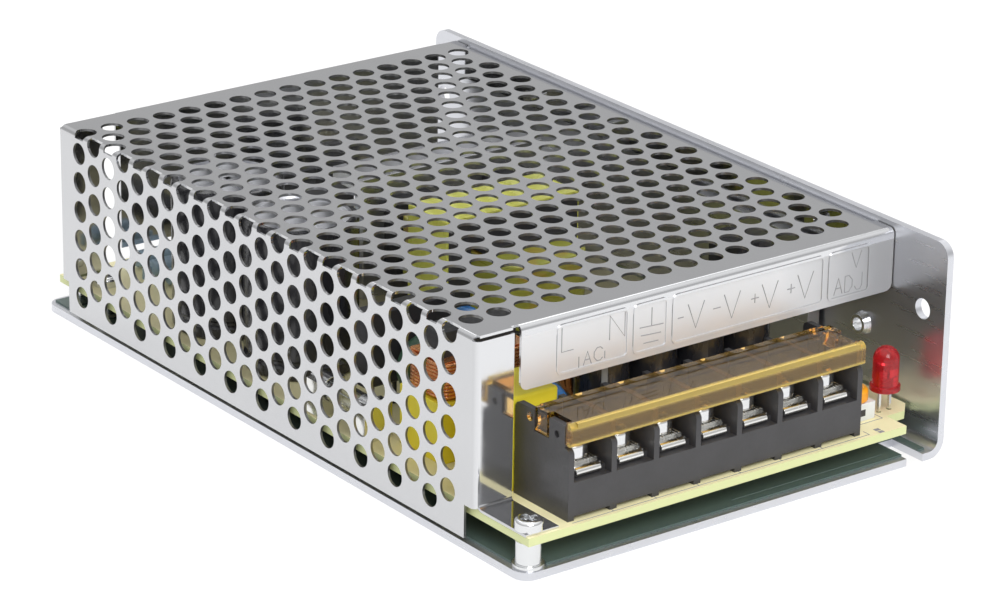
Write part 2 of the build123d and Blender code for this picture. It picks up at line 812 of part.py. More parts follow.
def make_terminal_block():
    """Moulded block: base, dividers, end walls with a notch and the lid's pivot holes."""
    body = block(block_left, block_right, block_front, block_rear, board_top, sill_top)
    body += block(block_left, block_right, seat_front, block_rear, sill_top, seat_top)
    body += block(block_left, block_right, block_rear - block_rear_wall, block_rear, seat_top,
                  board_top + block_rear_height)
    for i in range(terminal_count + 1):
        x0 = block_left + i * terminal_pitch
        outer = i in (0, terminal_count)
        wall = side_plate(divider_outline(end_wall_height if outer else divider_height), x0, x0 + divider)
        shoulder = wall.edges().filter_by(Axis.X).group_by(Axis.Y)[0].sort_by(Axis.Z)[-1]
        wall = fillet(shoulder, divider_rounding)
        if outer:
            wall = fillet(wall.edges().filter_by(Axis.X).group_by(Axis.Y)[-1].sort_by(Axis.Z)[-1],
                          divider_rounding)
            face = x0 if i == 0 else x0 + divider
            wall -= bar_x(face - end_hole_depth, face + end_hole_depth, block_front + end_hole_inset,
                          board_top + end_wall_height - end_hole_drop, end_hole_diameter / 2)
            wall -= block(x0 - 1, x0 + divider + 1, cover_front - notch_front, cover_front - notch_rear,
                          lid_top - notch_drop, lid_top + 1)
            wall -= bar_x(x0 - 1, x0 + divider + 1, pivot_y, pivot_z, pivot_diameter / 2 + running_fit)
        body += wall
    half_gap = (terminal_pitch - foot_width) / 2
    for x in bay_centres:
        body -= block(x - half_gap, x + half_gap, block_front - 1, block_rear + 1,
                      board_top - 1, board_top + foot_height)
        body -= post(x, screw_y, clamp_top - terminal_screw_length - screw_end_gap, seat_top + 1,
                     terminal_screw_diameter / 2 + screw_well_gap)
    return body


def make_terminal_plates():
    """Contact plates on the block's seat, each with a lip rolled down at the front."""
    pieces = []
    plate_rear = block_rear - block_rear_wall
    lip_z = plate_top - plate_lip_radius
    for x in bay_centres:
        plate = block(x - plate_width / 2, x + plate_width / 2, seat_front, plate_rear, seat_top, plate_top)
        for start in (90, 180):
            plate += fold_x(x - plate_lip_width / 2, x + plate_lip_width / 2, seat_front, lip_z,
                            plate_lip_radius - plate_lip_sheet, plate_lip_sheet, start)
        plate -= post(x, screw_y, seat_top - 1, plate_top + 1,
                      terminal_screw_diameter / 2 + running_fit)
        pieces.append(plate)
    return pieces


def make_clamp_washer(x):
    """Square clamp washer that rises with its screw."""
    half = clamp_side / 2
    washer = block(x - half, x + half, screw_y - half, screw_y + half, plate_top, clamp_top)
    washer = fillet(washer.edges().filter_by(Axis.Z), clamp_corner)
    return washer - post(x, screw_y, plate_top - 1, clamp_top + 1,
                         terminal_screw_diameter / 2 + running_fit)


def make_terminal_screw(x):
    """Pan-head terminal screw."""
    return Pos(x, screw_y, 0) * pan_screw(clamp_top, terminal_screw_length, terminal_head_diameter,
                                          terminal_head_height, terminal_screw_diameter)


def make_terminal_lid():
    """Clear lid with a front skirt, two end ears and two arms with pivot pins."""
    inner_left = block_left + divider + lid_side_gap
    inner_right = block_right - divider - lid_side_gap
    lid = block(inner_left, inner_right, lid_front, lid_rear, lid_under, lid_top)
    skirt = block(block_left, block_right, lid_front, lid_front + lid_skirt,
                  lid_under - lid_skirt_drop, lid_top)
    for end, rounding in ((-1, lid_front_rounding), (0, lid_skirt_rounding)):
        front_edges = skirt.edges().filter_by(Axis.X).group_by(Axis.Y)[0].sort_by(Axis.Z)
        skirt = fillet(front_edges[end], rounding)
    lid += skirt
    ear_low = lid_top - notch_drop + ear_gap
    ear_front = cover_front - notch_front + 2 * ear_gap
    ear_rear = cover_front - notch_rear - ear_gap
    for x0, x1, arm0 in ((block_left, inner_left, inner_left),
                         (inner_right, block_right, inner_right - arm_width)):
        ear = block(x0, x1, ear_front, ear_rear, ear_low, lid_top)
        lid += ear - bar_x(x0 - 1, x1 + 1, pivot_y, pivot_z, ear_swing_radius)
        arm = side_plate([(lid_rear - arm_root, lid_under + arm_sink), (lid_rear, lid_under + arm_sink),
                          (pivot_y + arm_half, pivot_z + arm_half),
                          (pivot_y - arm_half, pivot_z - arm_half)], arm0, arm0 + arm_width)
        arm += bar_x(arm0, arm0 + arm_width, pivot_y, pivot_z, pivot_boss / 2)
        lid += arm
        pin0 = min(x0, arm0) if x0 == block_left else arm0
        pin1 = arm0 + arm_width if x0 == block_left else block_right
        lid += bar_x(pin0, pin1, pivot_y, pivot_z, pivot_diameter / 2)
    return lid


def led_x():
    """X of the lamp's axis."""
    return wall_inner - led_from_wall


def led_y():
    """Y of the lamp's axis."""
    return cover_front - led_setback


def led_lead_xs():
    """X of the lamp's two leads."""
    return [led_x() + s * led_lead_spacing / 2 for s in (-1, 1)]


def make_led_lens():
    """Domed lamp body with its flange."""
    z0 = board_top + led_lift
    radius = led_diameter / 2
    body = post(led_x(), led_y(), z0, z0 + led_height - radius, radius)
    body += Pos(led_x(), led_y(), z0 + led_height - radius) * Sphere(radius)
    return body + post(led_x(), led_y(), z0, z0 + led_flange_height, led_flange / 2)


def make_led_leads():
    """The lamp's two leads, through the board."""
    half = led_lead / 2
    return [block(x - half, x + half, led_y() - half, led_y() + half, board_bottom - led_lead_tail,
                  board_top + led_lift) for x in led_lead_xs()]


def trimmer_centre():
    """X and Y of the trimmer's axis."""
    return (block_right + trimmer_gap + trimmer_side / 2, cover_front - trimmer_setback)


def make_trimmer_body():
    """Square trimmer housing with a round well for its rotor."""
    x, y = trimmer_centre()
    half = trimmer_side / 2
    body = block(x - half, x + half, y - half, y + half, board_top, board_top + trimmer_height)
    body = fillet(body.edges().filter_by(Axis.Z), trimmer_corner)
    return body - post(x, y, board_top + trimmer_height - rotor_well, board_top + trimmer_height + 1,
                       rotor_diameter / 2 + rotor_fit)


def make_trimmer_rotor():
    """Slotted rotor of the trimmer: a stem in the well under a wider cap."""
    x, y = trimmer_centre()
    z0 = board_top + trimmer_height - rotor_well
    cap_low = board_top + trimmer_height + rotor_fit
    z1 = cap_low + rotor_cap_height
    cap = post(x, y, cap_low, z1, rotor_cap_diameter / 2)
    cap = chamfer(cap.edges().group_by(Axis.Z)[-1], rotor_chamfer)
    rotor = cap + post(x, y, z0, cap_low, rotor_diameter / 2)
    half = rotor_cap_diameter / 2 - 2 * rotor_chamfer
    return rotor - block(x - half, x + half, y - rotor_slot / 2, y + rotor_slot / 2,
                         z1 - rotor_slot_depth, z1 + 1)


core_x, core_y = board_spot(transformer_spot)
core_z0 = board_top + core_lift
core_z1 = cover_under - core_headroom - tape_thickness
window_z0 = core_z0 + core_leg
window_z1 = core_z1 - core_leg
window_x = core_width / 2 - core_leg
coil_x = window_x - winding_fit
coil_y = core_depth / 2 + winding_overhang


def around_core(x0, x1, y0, y1, z0, z1):
    """A box given from the transformer's centre in X and Y."""
    return block(core_x + x0, core_x + x1, core_y + y0, core_y + y1, z0, z1)


def make_transformer_core():
    """Ferrite core with two windows."""
    half = core_width / 2
    core = around_core(-half, half, -core_depth / 2, core_depth / 2, core_z0, core_z1)
    leg = core_centre_leg / 2
    for x0, x1 in ((-window_x, -leg), (leg, window_x)):
        core -= around_core(x0, x1, -core_depth, core_depth, window_z0, window_z1)
    return core


def make_transformer_tape():
    """Tape wound round the core's outside."""
    half = core_width / 2
    wide = core_depth / 2 - tape_margin
    t = tape_thickness
    band = around_core(-half - t, half + t, -wide, wide, core_z0 - t, core_z1 + t)
    band = fillet(band.edges().filter_by(Axis.Y), t)
    return band - around_core(-half, half, -wide - 1, wide + 1, core_z0, core_z1)


def make_transformer_bobbin():
    """Coil former: a tube on the centre leg, two flanges and a rail at each end on the board."""
    leg = core_centre_leg / 2 + bobbin_slack
    tube = leg + bobbin_wall
    deep = core_depth / 2 + bobbin_slack
    low = window_z0 + bobbin_slack
    high = window_z1 - bobbin_slack
    flange = deep + bobbin_flange
    former = around_core(-tube, tube, -deep - bobbin_wall, deep + bobbin_wall, low, high)
    for z0 in (low, high - bobbin_wall):
        former += around_core(-coil_x, coil_x, -flange, flange, z0, z0 + bobbin_wall)
    former -= around_core(-leg, leg, -deep, deep, window_z0 - 1, window_z1 + 1)
    for s in (-1, 1):
        y0, y1 = sorted((s * (core_depth / 2 + winding_fit), s * coil_y))
        former += around_core(-coil_x, coil_x, y0, y1, board_top, low + bobbin_wall)
    return former


def make_transformer_winding():
    """Taped winding on the coil former."""
    z0 = window_z0 + bobbin_slack + bobbin_wall
    z1 = window_z1 - bobbin_slack - bobbin_wall - winding_slack
    coil = around_core(-coil_x, coil_x, -coil_y, coil_y, z0, z1)
    coil = fillet(coil.edges().filter_by(Axis.Z), winding_corner)
    tube = core_centre_leg / 2 + bobbin_slack + bobbin_wall
    deep = core_depth / 2 + bobbin_slack + bobbin_wall
    return coil - around_core(-tube, tube, -deep, deep, z0 - 1, z1 + 1)


def can(x, y, diameter, height):
    """An electrolytic can that stands on the board, with its crimp groove."""
    radius = diameter / 2
    body = post(x, y, board_top, board_top + height, radius)
    body = fillet(body.edges().group_by(Axis.Z)[-1], radius * can_rounding)
    groove = Torus(radius + can_groove_radius - can_groove_depth, can_groove_radius)
    return body - Pos(x, y, board_top + height * can_groove_share) * groove


def make_output_cans():
    """Row of output capacitors behind the terminal block."""
    x, y = board_spot(output_cans_spot)
    return [can(x + i * output_can_spacing, y, output_can_diameter, output_can_height)
            for i in range(output_can_count)]


def make_bulk_can(number):
    """One of the two large cans of the mains side."""
    x, y = board_spot(bulk_spot)
    return can(x, y + (number - 1) * bulk_spacing, bulk_diameter, cover_under - bulk_headroom - board_top)


choke_x, choke_y = board_spot(choke_spot)
choke_z0 = board_top + choke_base_height - choke_leg - choke_sink
choke_half = choke_width / 2
choke_leg_x = choke_half - choke_leg / 2


def make_choke_core():
    """Square ferrite frame of the line filter."""
    frame = block(choke_x - choke_half, choke_x + choke_half, choke_y - choke_depth / 2,
                  choke_y + choke_depth / 2, choke_z0, choke_z0 + choke_height)
    inner = choke_half - choke_leg
    return frame - block(choke_x - inner, choke_x + inner, choke_y - choke_depth, choke_y + choke_depth,
                         choke_z0 + choke_leg, choke_z0 + choke_height - choke_leg)


def make_choke_coils():
    """One copper coil on each leg of the frame."""
    pieces = []
    z0 = choke_z0 + choke_leg + choke_sink
    wide = choke_leg / 2 + choke_coil_layer
    leg = choke_leg / 2 + wire_slack
    deep = choke_depth / 2 + wire_slack
    for s in (-1, 1):
        x = choke_x + s * choke_leg_x
        coil = block(x - wide, x + wide, choke_y - choke_coil / 2, choke_y + choke_coil / 2,
                     z0, z0 + choke_coil_height)
        coil = fillet(coil.edges().filter_by(Axis.Z), choke_coil_corner)
        pieces.append(coil - block(x - leg, x + leg, choke_y - deep, choke_y + deep,
                                   z0 - 1, z0 + choke_coil_height + 1))
    return pieces


def make_choke_base():
    """Moulded base that holds the frame's lower bar."""
    half_x = choke_half + choke_base_rim_x
    half_y = choke_coil / 2 + choke_base_rim_y
    slot_x = choke_half + wire_slack
    slot_y = choke_depth / 2 + wire_slack
    base = block(choke_x - half_x, choke_x + half_x, choke_y - half_y, choke_y + half_y,
                 board_top, board_top + choke_base_height)
    return base - block(choke_x - slot_x, choke_x + slot_x, choke_y - slot_y, choke_y + slot_y,
                        choke_z0, board_top + choke_base_height + 1)


def make_line_capacitor():
    """Boxed film capacitor across the line."""
    x = board_x(box_cap_share)
    y0 = block_rear + behind_block_gap
    body = block(x - box_cap_width / 2, x + box_cap_width / 2, y0, y0 + box_cap_depth,
                 board_top, board_top + box_cap_height)
    return fillet(body.edges().filter_by(Axis.Z) + body.edges().group_by(Axis.Z)[-1], box_cap_corner)


def disc_part(x, y, along_y):
    """A coated disc that stands on two leads, its face along Y or along X."""
    radius = disc_diameter / 2
    z = board_top + disc_lift + radius
    disc = Rot(0, 90, 0) * Cylinder(radius, disc_thickness)
    disc = fillet(disc.edges(), disc_edge)
    for s in (-1, 1):
        disc += post(0, s * disc_lead_spacing / 2, -radius - disc_lift, 0, disc_lead / 2)
    turn = 0 if along_y else 90
    return Pos(x, y, z) * Rot(0, 0, turn) * disc


def make_disc_capacitors():
    """Safety capacitors: one behind the terminals, one beside the transformer."""
    front_y = block_rear + behind_block_gap + disc_diameter / 2
    return [disc_part(board_x(front_disc_share), front_y, True),
            disc_part(*board_spot(rear_disc_spot), True)]


fuse_x, fuse_y = board_spot(fuse_spot)
fuse_z = board_top + fuse_lift


def make_fuse_tube():
    """Glass tube of the fuse."""
    half = fuse_length / 2 - fuse_tube_inset
    radius = fuse_diameter / 2 - fuse_cap_wall
    return (bar_y(fuse_x, fuse_y - half, fuse_y + half, fuse_z, radius)
            - bar_y(fuse_x, fuse_y - half - 1, fuse_y + half + 1, fuse_z, radius - fuse_glass))


def make_fuse_caps():
    """Metal end caps of the fuse."""
    pieces = []
    for s in (-1, 1):
        y0, y1 = sorted((fuse_y + s * (fuse_length / 2 - fuse_cap_length), fuse_y + s * fuse_length / 2))
        cap = bar_y(fuse_x, y0, y1, fuse_z, fuse_diameter / 2)
        half = fuse_length / 2 - fuse_tube_inset
        pieces.append(cap - bar_y(fuse_x, fuse_y - half, fuse_y + half, fuse_z,
                                  fuse_diameter / 2 - fuse_cap_wall))
    return pieces


def make_fuse_clips():
    """Sprung clips that hold the fuse's caps."""
    pieces = []
    radius = fuse_diameter / 2
    for s in (-1, 1):
        y = fuse_y + s * (fuse_length - fuse_cap_length) / 2
        half = clip_length / 2
        clip = block(fuse_x - radius - clip_wall, fuse_x + radius + clip_wall, y - half, y + half,
                     board_top, fuse_z + clip_mouth / 2)
        clip -= bar_y(fuse_x, y - half - 1, y + half + 1, fuse_z, radius)
        pieces.append(clip - block(fuse_x - clip_mouth / 2, fuse_x + clip_mouth / 2,
                                   y - half - 1, y + half + 1, fuse_z, fuse_z + radius + 1))
    return pieces


toroid_x, toroid_y = board_spot(toroid_spot)


def make_toroid_core():
    """Ring core of the output choke."""
    z0 = board_top + wire_layer + wire_slack
    ring = post(toroid_x, toroid_y, z0, z0 + toroid_height, toroid_outer)
    ring -= post(toroid_x, toroid_y, z0 - 1, z0 + toroid_height + 1, toroid_inner)
    return fillet(ring.edges(), toroid_edge)


def make_toroid_coil():
    """Copper wire round the ring, open at one side."""
    z0 = board_top
    z1 = z0 + toroid_height + 2 * (wire_layer + wire_slack)
    core_z = z0 + wire_layer
    coil = post(toroid_x, toroid_y, z0, z1, toroid_outer + wire_layer)
    coil -= post(toroid_x, toroid_y, z0 - 1, z1 + 1, toroid_inner - wire_layer)
    coil -= (post(toroid_x, toroid_y, core_z, z1 - wire_layer, toroid_outer + wire_slack)
             - post(toroid_x, toroid_y, core_z - 1, z1, toroid_inner - wire_slack))
    return coil - block(toroid_x, toroid_x + 2 * toroid_outer, toroid_y - toroid_gap / 2,
                        toroid_y + toroid_gap / 2, z0 - 1, z1 + 1)


def package(width, height, thickness, leads, lead_spacing):
    """A flat power package that stands on its leads, face towards -Y, back on the plane y = 0."""
    body = block(-width / 2, width / 2, -thickness, 0, board_top + package_lift,
                 board_top + package_lift + height)
    body = chamfer(body.edges().group_by(Axis.Y)[0], package_chamfer)
    y0 = -(thickness + package_lead_thickness) / 2
    for i in range(leads):
        x = (i - (leads - 1) / 2) * lead_spacing
        body += block(x - package_lead / 2, x + package_lead / 2, y0, y0 + package_lead_thickness,
                      board_top, board_top + package_lift + package_lead_sink)
    return body


output_sink_y = board_y(output_sink_share)
primary_sink_x, primary_sink_y = board_spot(primary_sink_spot)


def make_output_sink():
    """Plate heat sink beside the right wall."""
    return block(board_right - sink_thickness, board_right, output_sink_y - output_sink_length / 2,
                 output_sink_y + output_sink_length / 2, board_top, sink_top)


def make_output_rectifier():
    """Output rectifier on its heat sink."""
    turned = Rot(0, 0, -90) * package(package_width, package_height, package_thickness, 3,
                                      package_lead_spacing)
    return Pos(board_right - sink_thickness, output_sink_y, 0) * turned


def make_primary_sink():
    """Plate heat sink across the board behind the transformer."""
    plate = block(primary_sink_x - primary_sink_length / 2, primary_sink_x + primary_sink_length / 2,
                  primary_sink_y - sink_thickness / 2, primary_sink_y + sink_thickness / 2,
                  board_top, sink_top)
    foot = block(primary_sink_x - primary_sink_length / 2, primary_sink_x + primary_sink_length / 2,
                 primary_sink_y, primary_sink_y + primary_sink_foot, sink_top - sink_thickness, sink_top)
    return plate + foot


def make_power_transistors():
    """Two switching transistors on the primary heat sink."""
    y = primary_sink_y - sink_thickness / 2
    return [Pos(primary_sink_x + s * transistor_spacing / 2, y, 0)
            * package(package_width, package_height, package_thickness, 3, package_lead_spacing)
            for s in (-1, 1)]


def make_bridge_rectifier():
    """Bridge rectifier that stands on four leads."""
    return Pos(*board_spot(bridge_spot), 0) * package(bridge_width, bridge_height, bridge_thickness, 4,
                                                      bridge_lead_spacing)


def make_thermistor():
    """Inrush limiter disc."""
    return disc_part(*board_spot(thermistor_spot), False)


def chip(x, y, width, length, pins):
    """A two-row chip with its legs on the board."""
    z0 = board_top + chip_lift
    body = block(x - width / 2, x + width / 2, y - length / 2, y + length / 2, z0, z0 + chip_height)
    body = chamfer(body.edges().group_by(Axis.Z)[-1], chip_chamfer)
    pitch = length / pins
    for i in range(pins):
        y0 = y + (i - (pins - 1) / 2) * pitch - chip_leg_width / 2
        for s in (-1, 1):
            x0, x1 = sorted((x + s * (width / 2 - chip_leg_sink), x + s * (width / 2 + chip_leg_reach)))
            body += block(x0, x1, y0, y0 + chip_leg_width, board_top, z0 + chip_height / 2)
    return body


def make_control_chip():
    """Control chip."""
    return chip(*board_spot(chip_spot), chip_width, chip_length, chip_leg_count)


def make_optocouplers():
    """Couplers between the two sides of the supply."""
    return [chip(*board_spot(spot), opto_width, opto_length, opto_leg_count)
            for spot in (left_opto_spot, right_opto_spot)]


driver_x, driver_y = board_spot(driver_spot)
driver_middle = board_top + driver_lift + driver_core_height / 2


def around_driver(width, depth, height):
    """A box about the middle of the small drive transformer."""
    return Pos(driver_x, driver_y, driver_middle) * Box(width, depth, height)


def make_driver_core():
    """Core of the small drive transformer."""
    core = around_driver(driver_core_width, driver_core_depth, driver_core_height)
    return core - around_driver(driver_coil_width + 2 * winding_fit, 2 * driver_core_depth,
                                driver_coil_height + 2 * winding_fit)


def make_driver_coil():
    """Coil of the small drive transformer, on its foot."""
    coil = around_driver(driver_coil_width, driver_coil_depth, driver_coil_height)
    coil = fillet(coil.edges().filter_by(Axis.Z), driver_coil_corner)
    half = driver_coil_width / 2
    for s in (-1, 1):
        y0, y1 = sorted((driver_y + s * (driver_core_depth / 2 + winding_fit),
                         driver_y + s * driver_coil_depth / 2))
        coil += block(driver_x - half, driver_x + half, y0, y1, board_top,
                      driver_middle - driver_coil_height / 2)
    return coil


def make_film_capacitors():
    """Small boxed capacitors near the rear."""
    pieces = []
    for spot in (left_film_cap_spot, middle_film_cap_spot, right_film_cap_spot):
        x, y = board_spot(spot)
        body = block(x - film_cap_width / 2, x + film_cap_width / 2, y - film_cap_depth / 2,
                     y + film_cap_depth / 2, board_top, board_top + film_cap_height)
        pieces.append(fillet(body.edges().filter_by(Axis.Z), film_cap_corner))
    return pieces


def make_resistors():
    """Axial resistors, each on its two bent wires."""
    pieces = []
    z = board_top + resistor_diameter / 2 + resistor_lift
    reach = resistor_length / 2 + resistor_wire_reach
    half = resistor_wire / 2
    spots = [(rear_resistor_share, row) for row in rear_resistor_rows] + [corner_resistor_spot]
    spots += [(front_resistor_share, row) for row in front_resistor_rows]
    for spot in spots:
        x, y = board_spot(spot)
        body = bar_x(x - resistor_length / 2, x + resistor_length / 2, y, z, resistor_diameter / 2)
        body = fillet(body.edges(), resistor_rounding)
        for s in (-1, 1):
            end = x + s * reach
            body += block(min(x, end), max(x, end), y - half, y + half, z - half, z + half)
            body += block(end - half, end + half, y - half, y + half, board_top, z + half)
        pieces.append(body)
    return pieces


save(make_chassis(), "chassis")
save(make_cover(), "cover")
save(make_film(), "insulation_sheet")
save(make_board(), "circuit_board")
save(make_standoffs(), "standoffs")
save(make_board_screws(), "board_screws")
save(make_cover_screws(), "cover_screws")
save(make_wall_nut(), "wall_nut")
save(make_terminal_block(), "terminal_block")
save(make_terminal_plates(), "terminal_plates")
for number, bay_x in enumerate(bay_centres, 1):
    save(make_terminal_screw(bay_x), f"terminal_screw_{number}")
    save(make_clamp_washer(bay_x), f"clamp_washer_{number}")
save(make_terminal_lid(), "terminal_cover")
save(make_led_lens(), "led_lens")
save(make_led_leads(), "led_leads")
save(make_trimmer_body(), "trimmer_body")
save(make_trimmer_rotor(), "trimmer_rotor")
save(make_transformer_core(), "transformer_core")
save(make_transformer_tape(), "transformer_tape")
save(make_transformer_bobbin(), "transformer_bobbin")
save(make_transformer_winding(), "transformer_winding")
for number in (1, 2):
    save(make_bulk_can(number), f"bulk_capacitor_{number}")
save(make_output_cans(), "output_capacitors")
save(make_choke_core(), "choke_core")
save(make_choke_coils(), "choke_coils")
save(make_choke_base(), "choke_base")
save(make_line_capacitor(), "line_capacitor")
save(make_disc_capacitors(), "disc_capacitors")
save(make_fuse_tube(), "fuse_tube")
save(make_fuse_caps(), "fuse_caps")
save(make_fuse_clips(), "fuse_clips")
save(make_toroid_core(), "output_choke_core")
save(make_toroid_coil(), "output_choke_coil")
save(make_output_sink(), "output_heat_sink")
save(make_output_rectifier(), "output_rectifier")
save(make_primary_sink(), "primary_heat_sink")
save(make_power_transistors(), "power_transistors")
save(make_bridge_rectifier(), "bridge_rectifier")
save(make_thermistor(), "thermistor")
save(make_control_chip(), "control_chip")
save(make_optocouplers(), "optocouplers")
save(make_driver_core(), "driver_core")
save(make_driver_coil(), "driver_coil")
save(make_film_capacitors(), "film_capacitors")
save(make_resistors(), "resistors")
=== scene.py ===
"""Looks of an enclosed power supply, laid out as a Blender add-on and run as a script."""

import math

import bmesh
import bpy
from mathutils import Matrix, Vector


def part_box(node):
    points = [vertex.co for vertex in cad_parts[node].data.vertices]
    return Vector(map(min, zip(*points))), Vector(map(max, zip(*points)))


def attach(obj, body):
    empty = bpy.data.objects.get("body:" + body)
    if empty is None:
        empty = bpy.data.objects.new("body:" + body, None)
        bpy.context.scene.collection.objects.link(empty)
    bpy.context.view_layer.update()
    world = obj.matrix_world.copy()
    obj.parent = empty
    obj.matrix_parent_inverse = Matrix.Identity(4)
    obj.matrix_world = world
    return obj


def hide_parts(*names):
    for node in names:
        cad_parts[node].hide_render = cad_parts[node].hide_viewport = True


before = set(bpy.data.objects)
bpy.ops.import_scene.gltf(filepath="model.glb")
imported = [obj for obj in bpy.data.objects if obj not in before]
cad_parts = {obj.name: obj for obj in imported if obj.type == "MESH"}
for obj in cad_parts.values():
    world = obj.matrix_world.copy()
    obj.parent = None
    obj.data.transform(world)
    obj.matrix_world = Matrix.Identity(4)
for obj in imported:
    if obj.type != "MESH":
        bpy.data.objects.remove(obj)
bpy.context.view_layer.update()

bl_info = {
    "name": "Enclosed power supply",
    "version": (1, 0, 0),
    "blender": (4, 5, 0),
    "location": "3D View > Sidebar > Power Supply",
    "description": "Dresses the packed supply: metal, plastics, windings, marks and the studio",
    "category": "Object",
}

MM = 0.001
BAYS = 7
# Points closer together than this, in metres, are one.
SAME = 1e-6
# Scale of a finish's cloudy pattern, as a share of its fine pattern.
CLOUDS = 0.12


def length(label, text, millimetres):
    """A size that the user sees, given in millimetres and kept in metres."""
    return bpy.props.FloatProperty(
        name=label, description=text, default=millimetres * MM, precision=5, unit="LENGTH"
    )


def tint(label, text, colour):
    """A colour that the user sees."""
    return bpy.props.FloatVectorProperty(
        name=label, description=text, default=colour, subtype="COLOR", size=3, min=0, max=1
    )


class SupplySizes(bpy.types.PropertyGroup):
    """Sizes of the details that the looks add."""

    metal_edge: length("Metal edge", "Rounding of stamped metal edges", 0.08)
    plastic_edge: length("Plastic edge", "Rounding of moulded edges", 0.15)
    stroke: length("Mark stroke", "Width of a stamped stroke on the front flange", 0.20)
    ink: length("Ink line", "Width of a printed line on the board", 0.16)
    ink_depth: length("Ink depth", "Thickness of the print", 0.03)
    filter_wire: length("Filter wire", "Wire diameter of the line filter", 0.66)
    choke_wire: length("Choke wire", "Wire diameter of the ring choke", 1.15)
    lead: length("Lead", "Diameter of a part's wire leads", 0.6)
    crease: length("Crease", "Height of the fold line in the film", 0.12)


class SupplyFinishes(bpy.types.PropertyGroup):
    """Colours of the supply's finishes."""

    sheet_steel: tint("Cover metal", "Bright perforated cover", (0.60, 0.605, 0.62))
    aluminium: tint("Chassis metal", "Folded aluminium chassis", (0.68, 0.69, 0.73))
    mark: tint("Stamped marks", "Shade of the stamped strokes", (0.30, 0.30, 0.31))
    film: tint("Insulating film", "Dark green film under the board", (0.085, 0.125, 0.115))
    board: tint("Board", "Pale laminate", (0.94, 0.87, 0.53))
    board_edge: tint("Board edge", "Cut edge of the laminate", (0.66, 0.70, 0.36))
    nickel: tint("Nickel", "Screws, standoffs and nut", (0.76, 0.77, 0.78))
    tin: tint("Tin", "Terminal plates and washers", (0.80, 0.80, 0.78))
    black_plastic: tint("Block plastic", "Terminal block", (0.045, 0.044, 0.047))
    amber: tint("Lid", "Clear amber lid", (0.98, 0.62, 0.19))
    # Painted glow of the lid's lip, standing in for light gathered inside the plastic.
    amber_painted_glow: tint("Lid edge", "Golden light in the lid's lip", (0.98, 0.72, 0.16))
    red_lens: tint("Lamp", "Red lamp lens", (0.78, 0.03, 0.04))
    white_plastic: tint("Trimmer body", "White trimmer body", (0.80, 0.80, 0.78))
    orange_plastic: tint("Trimmer rotor", "Orange rotor", (0.95, 0.36, 0.01))
    ferrite: tint("Ferrite", "Cores", (0.045, 0.045, 0.05))
    yellow_tape: tint("Tape", "Lime tape round the transformer", (0.95, 0.99, 0.20))
    winding: tint("Winding", "Taped winding", (0.46, 0.48, 0.08))
    winding_warm: tint("Winding, warm", "Copper showing through the tape", (0.55, 0.38, 0.07))
    can_sleeve: tint("Can sleeve", "Black sleeve of the cans", (0.022, 0.022, 0.026))
    can_stripe: tint("Can stripe", "Pale stripe of the cans", (0.30, 0.31, 0.31))
    copper: tint("Copper", "Enamelled wire", (0.78, 0.33, 0.13))
    yellow_plastic: tint("Yellow plastic", "Filter base and line capacitor", (0.98, 0.82, 0.05))
    blue_coat: tint("Blue coat", "Disc capacitors", (0.04, 0.20, 0.55))
    glass: tint("Glass", "Fuse tube", (0.95, 0.97, 0.96))
    dark_coat: tint("Dark coat", "Thermistor", (0.04, 0.10, 0.06))
    resistor_coat: tint("Resistor coat", "Blue-grey resistor bodies", (0.33, 0.45, 0.55))
    film_box: tint("Film box", "Film capacitor boxes", (0.10, 0.10, 0.105))
    mould_compound: tint("Mould compound", "Semiconductor packages", (0.035, 0.035, 0.04))
    floor: tint("Floor", "Pale studio floor", (0.82, 0.82, 0.82))


def coat(weight, roughness=0.1):
    """Shader sockets of a clear coat."""
    return {"Coat Weight": weight, "Coat Roughness": roughness}


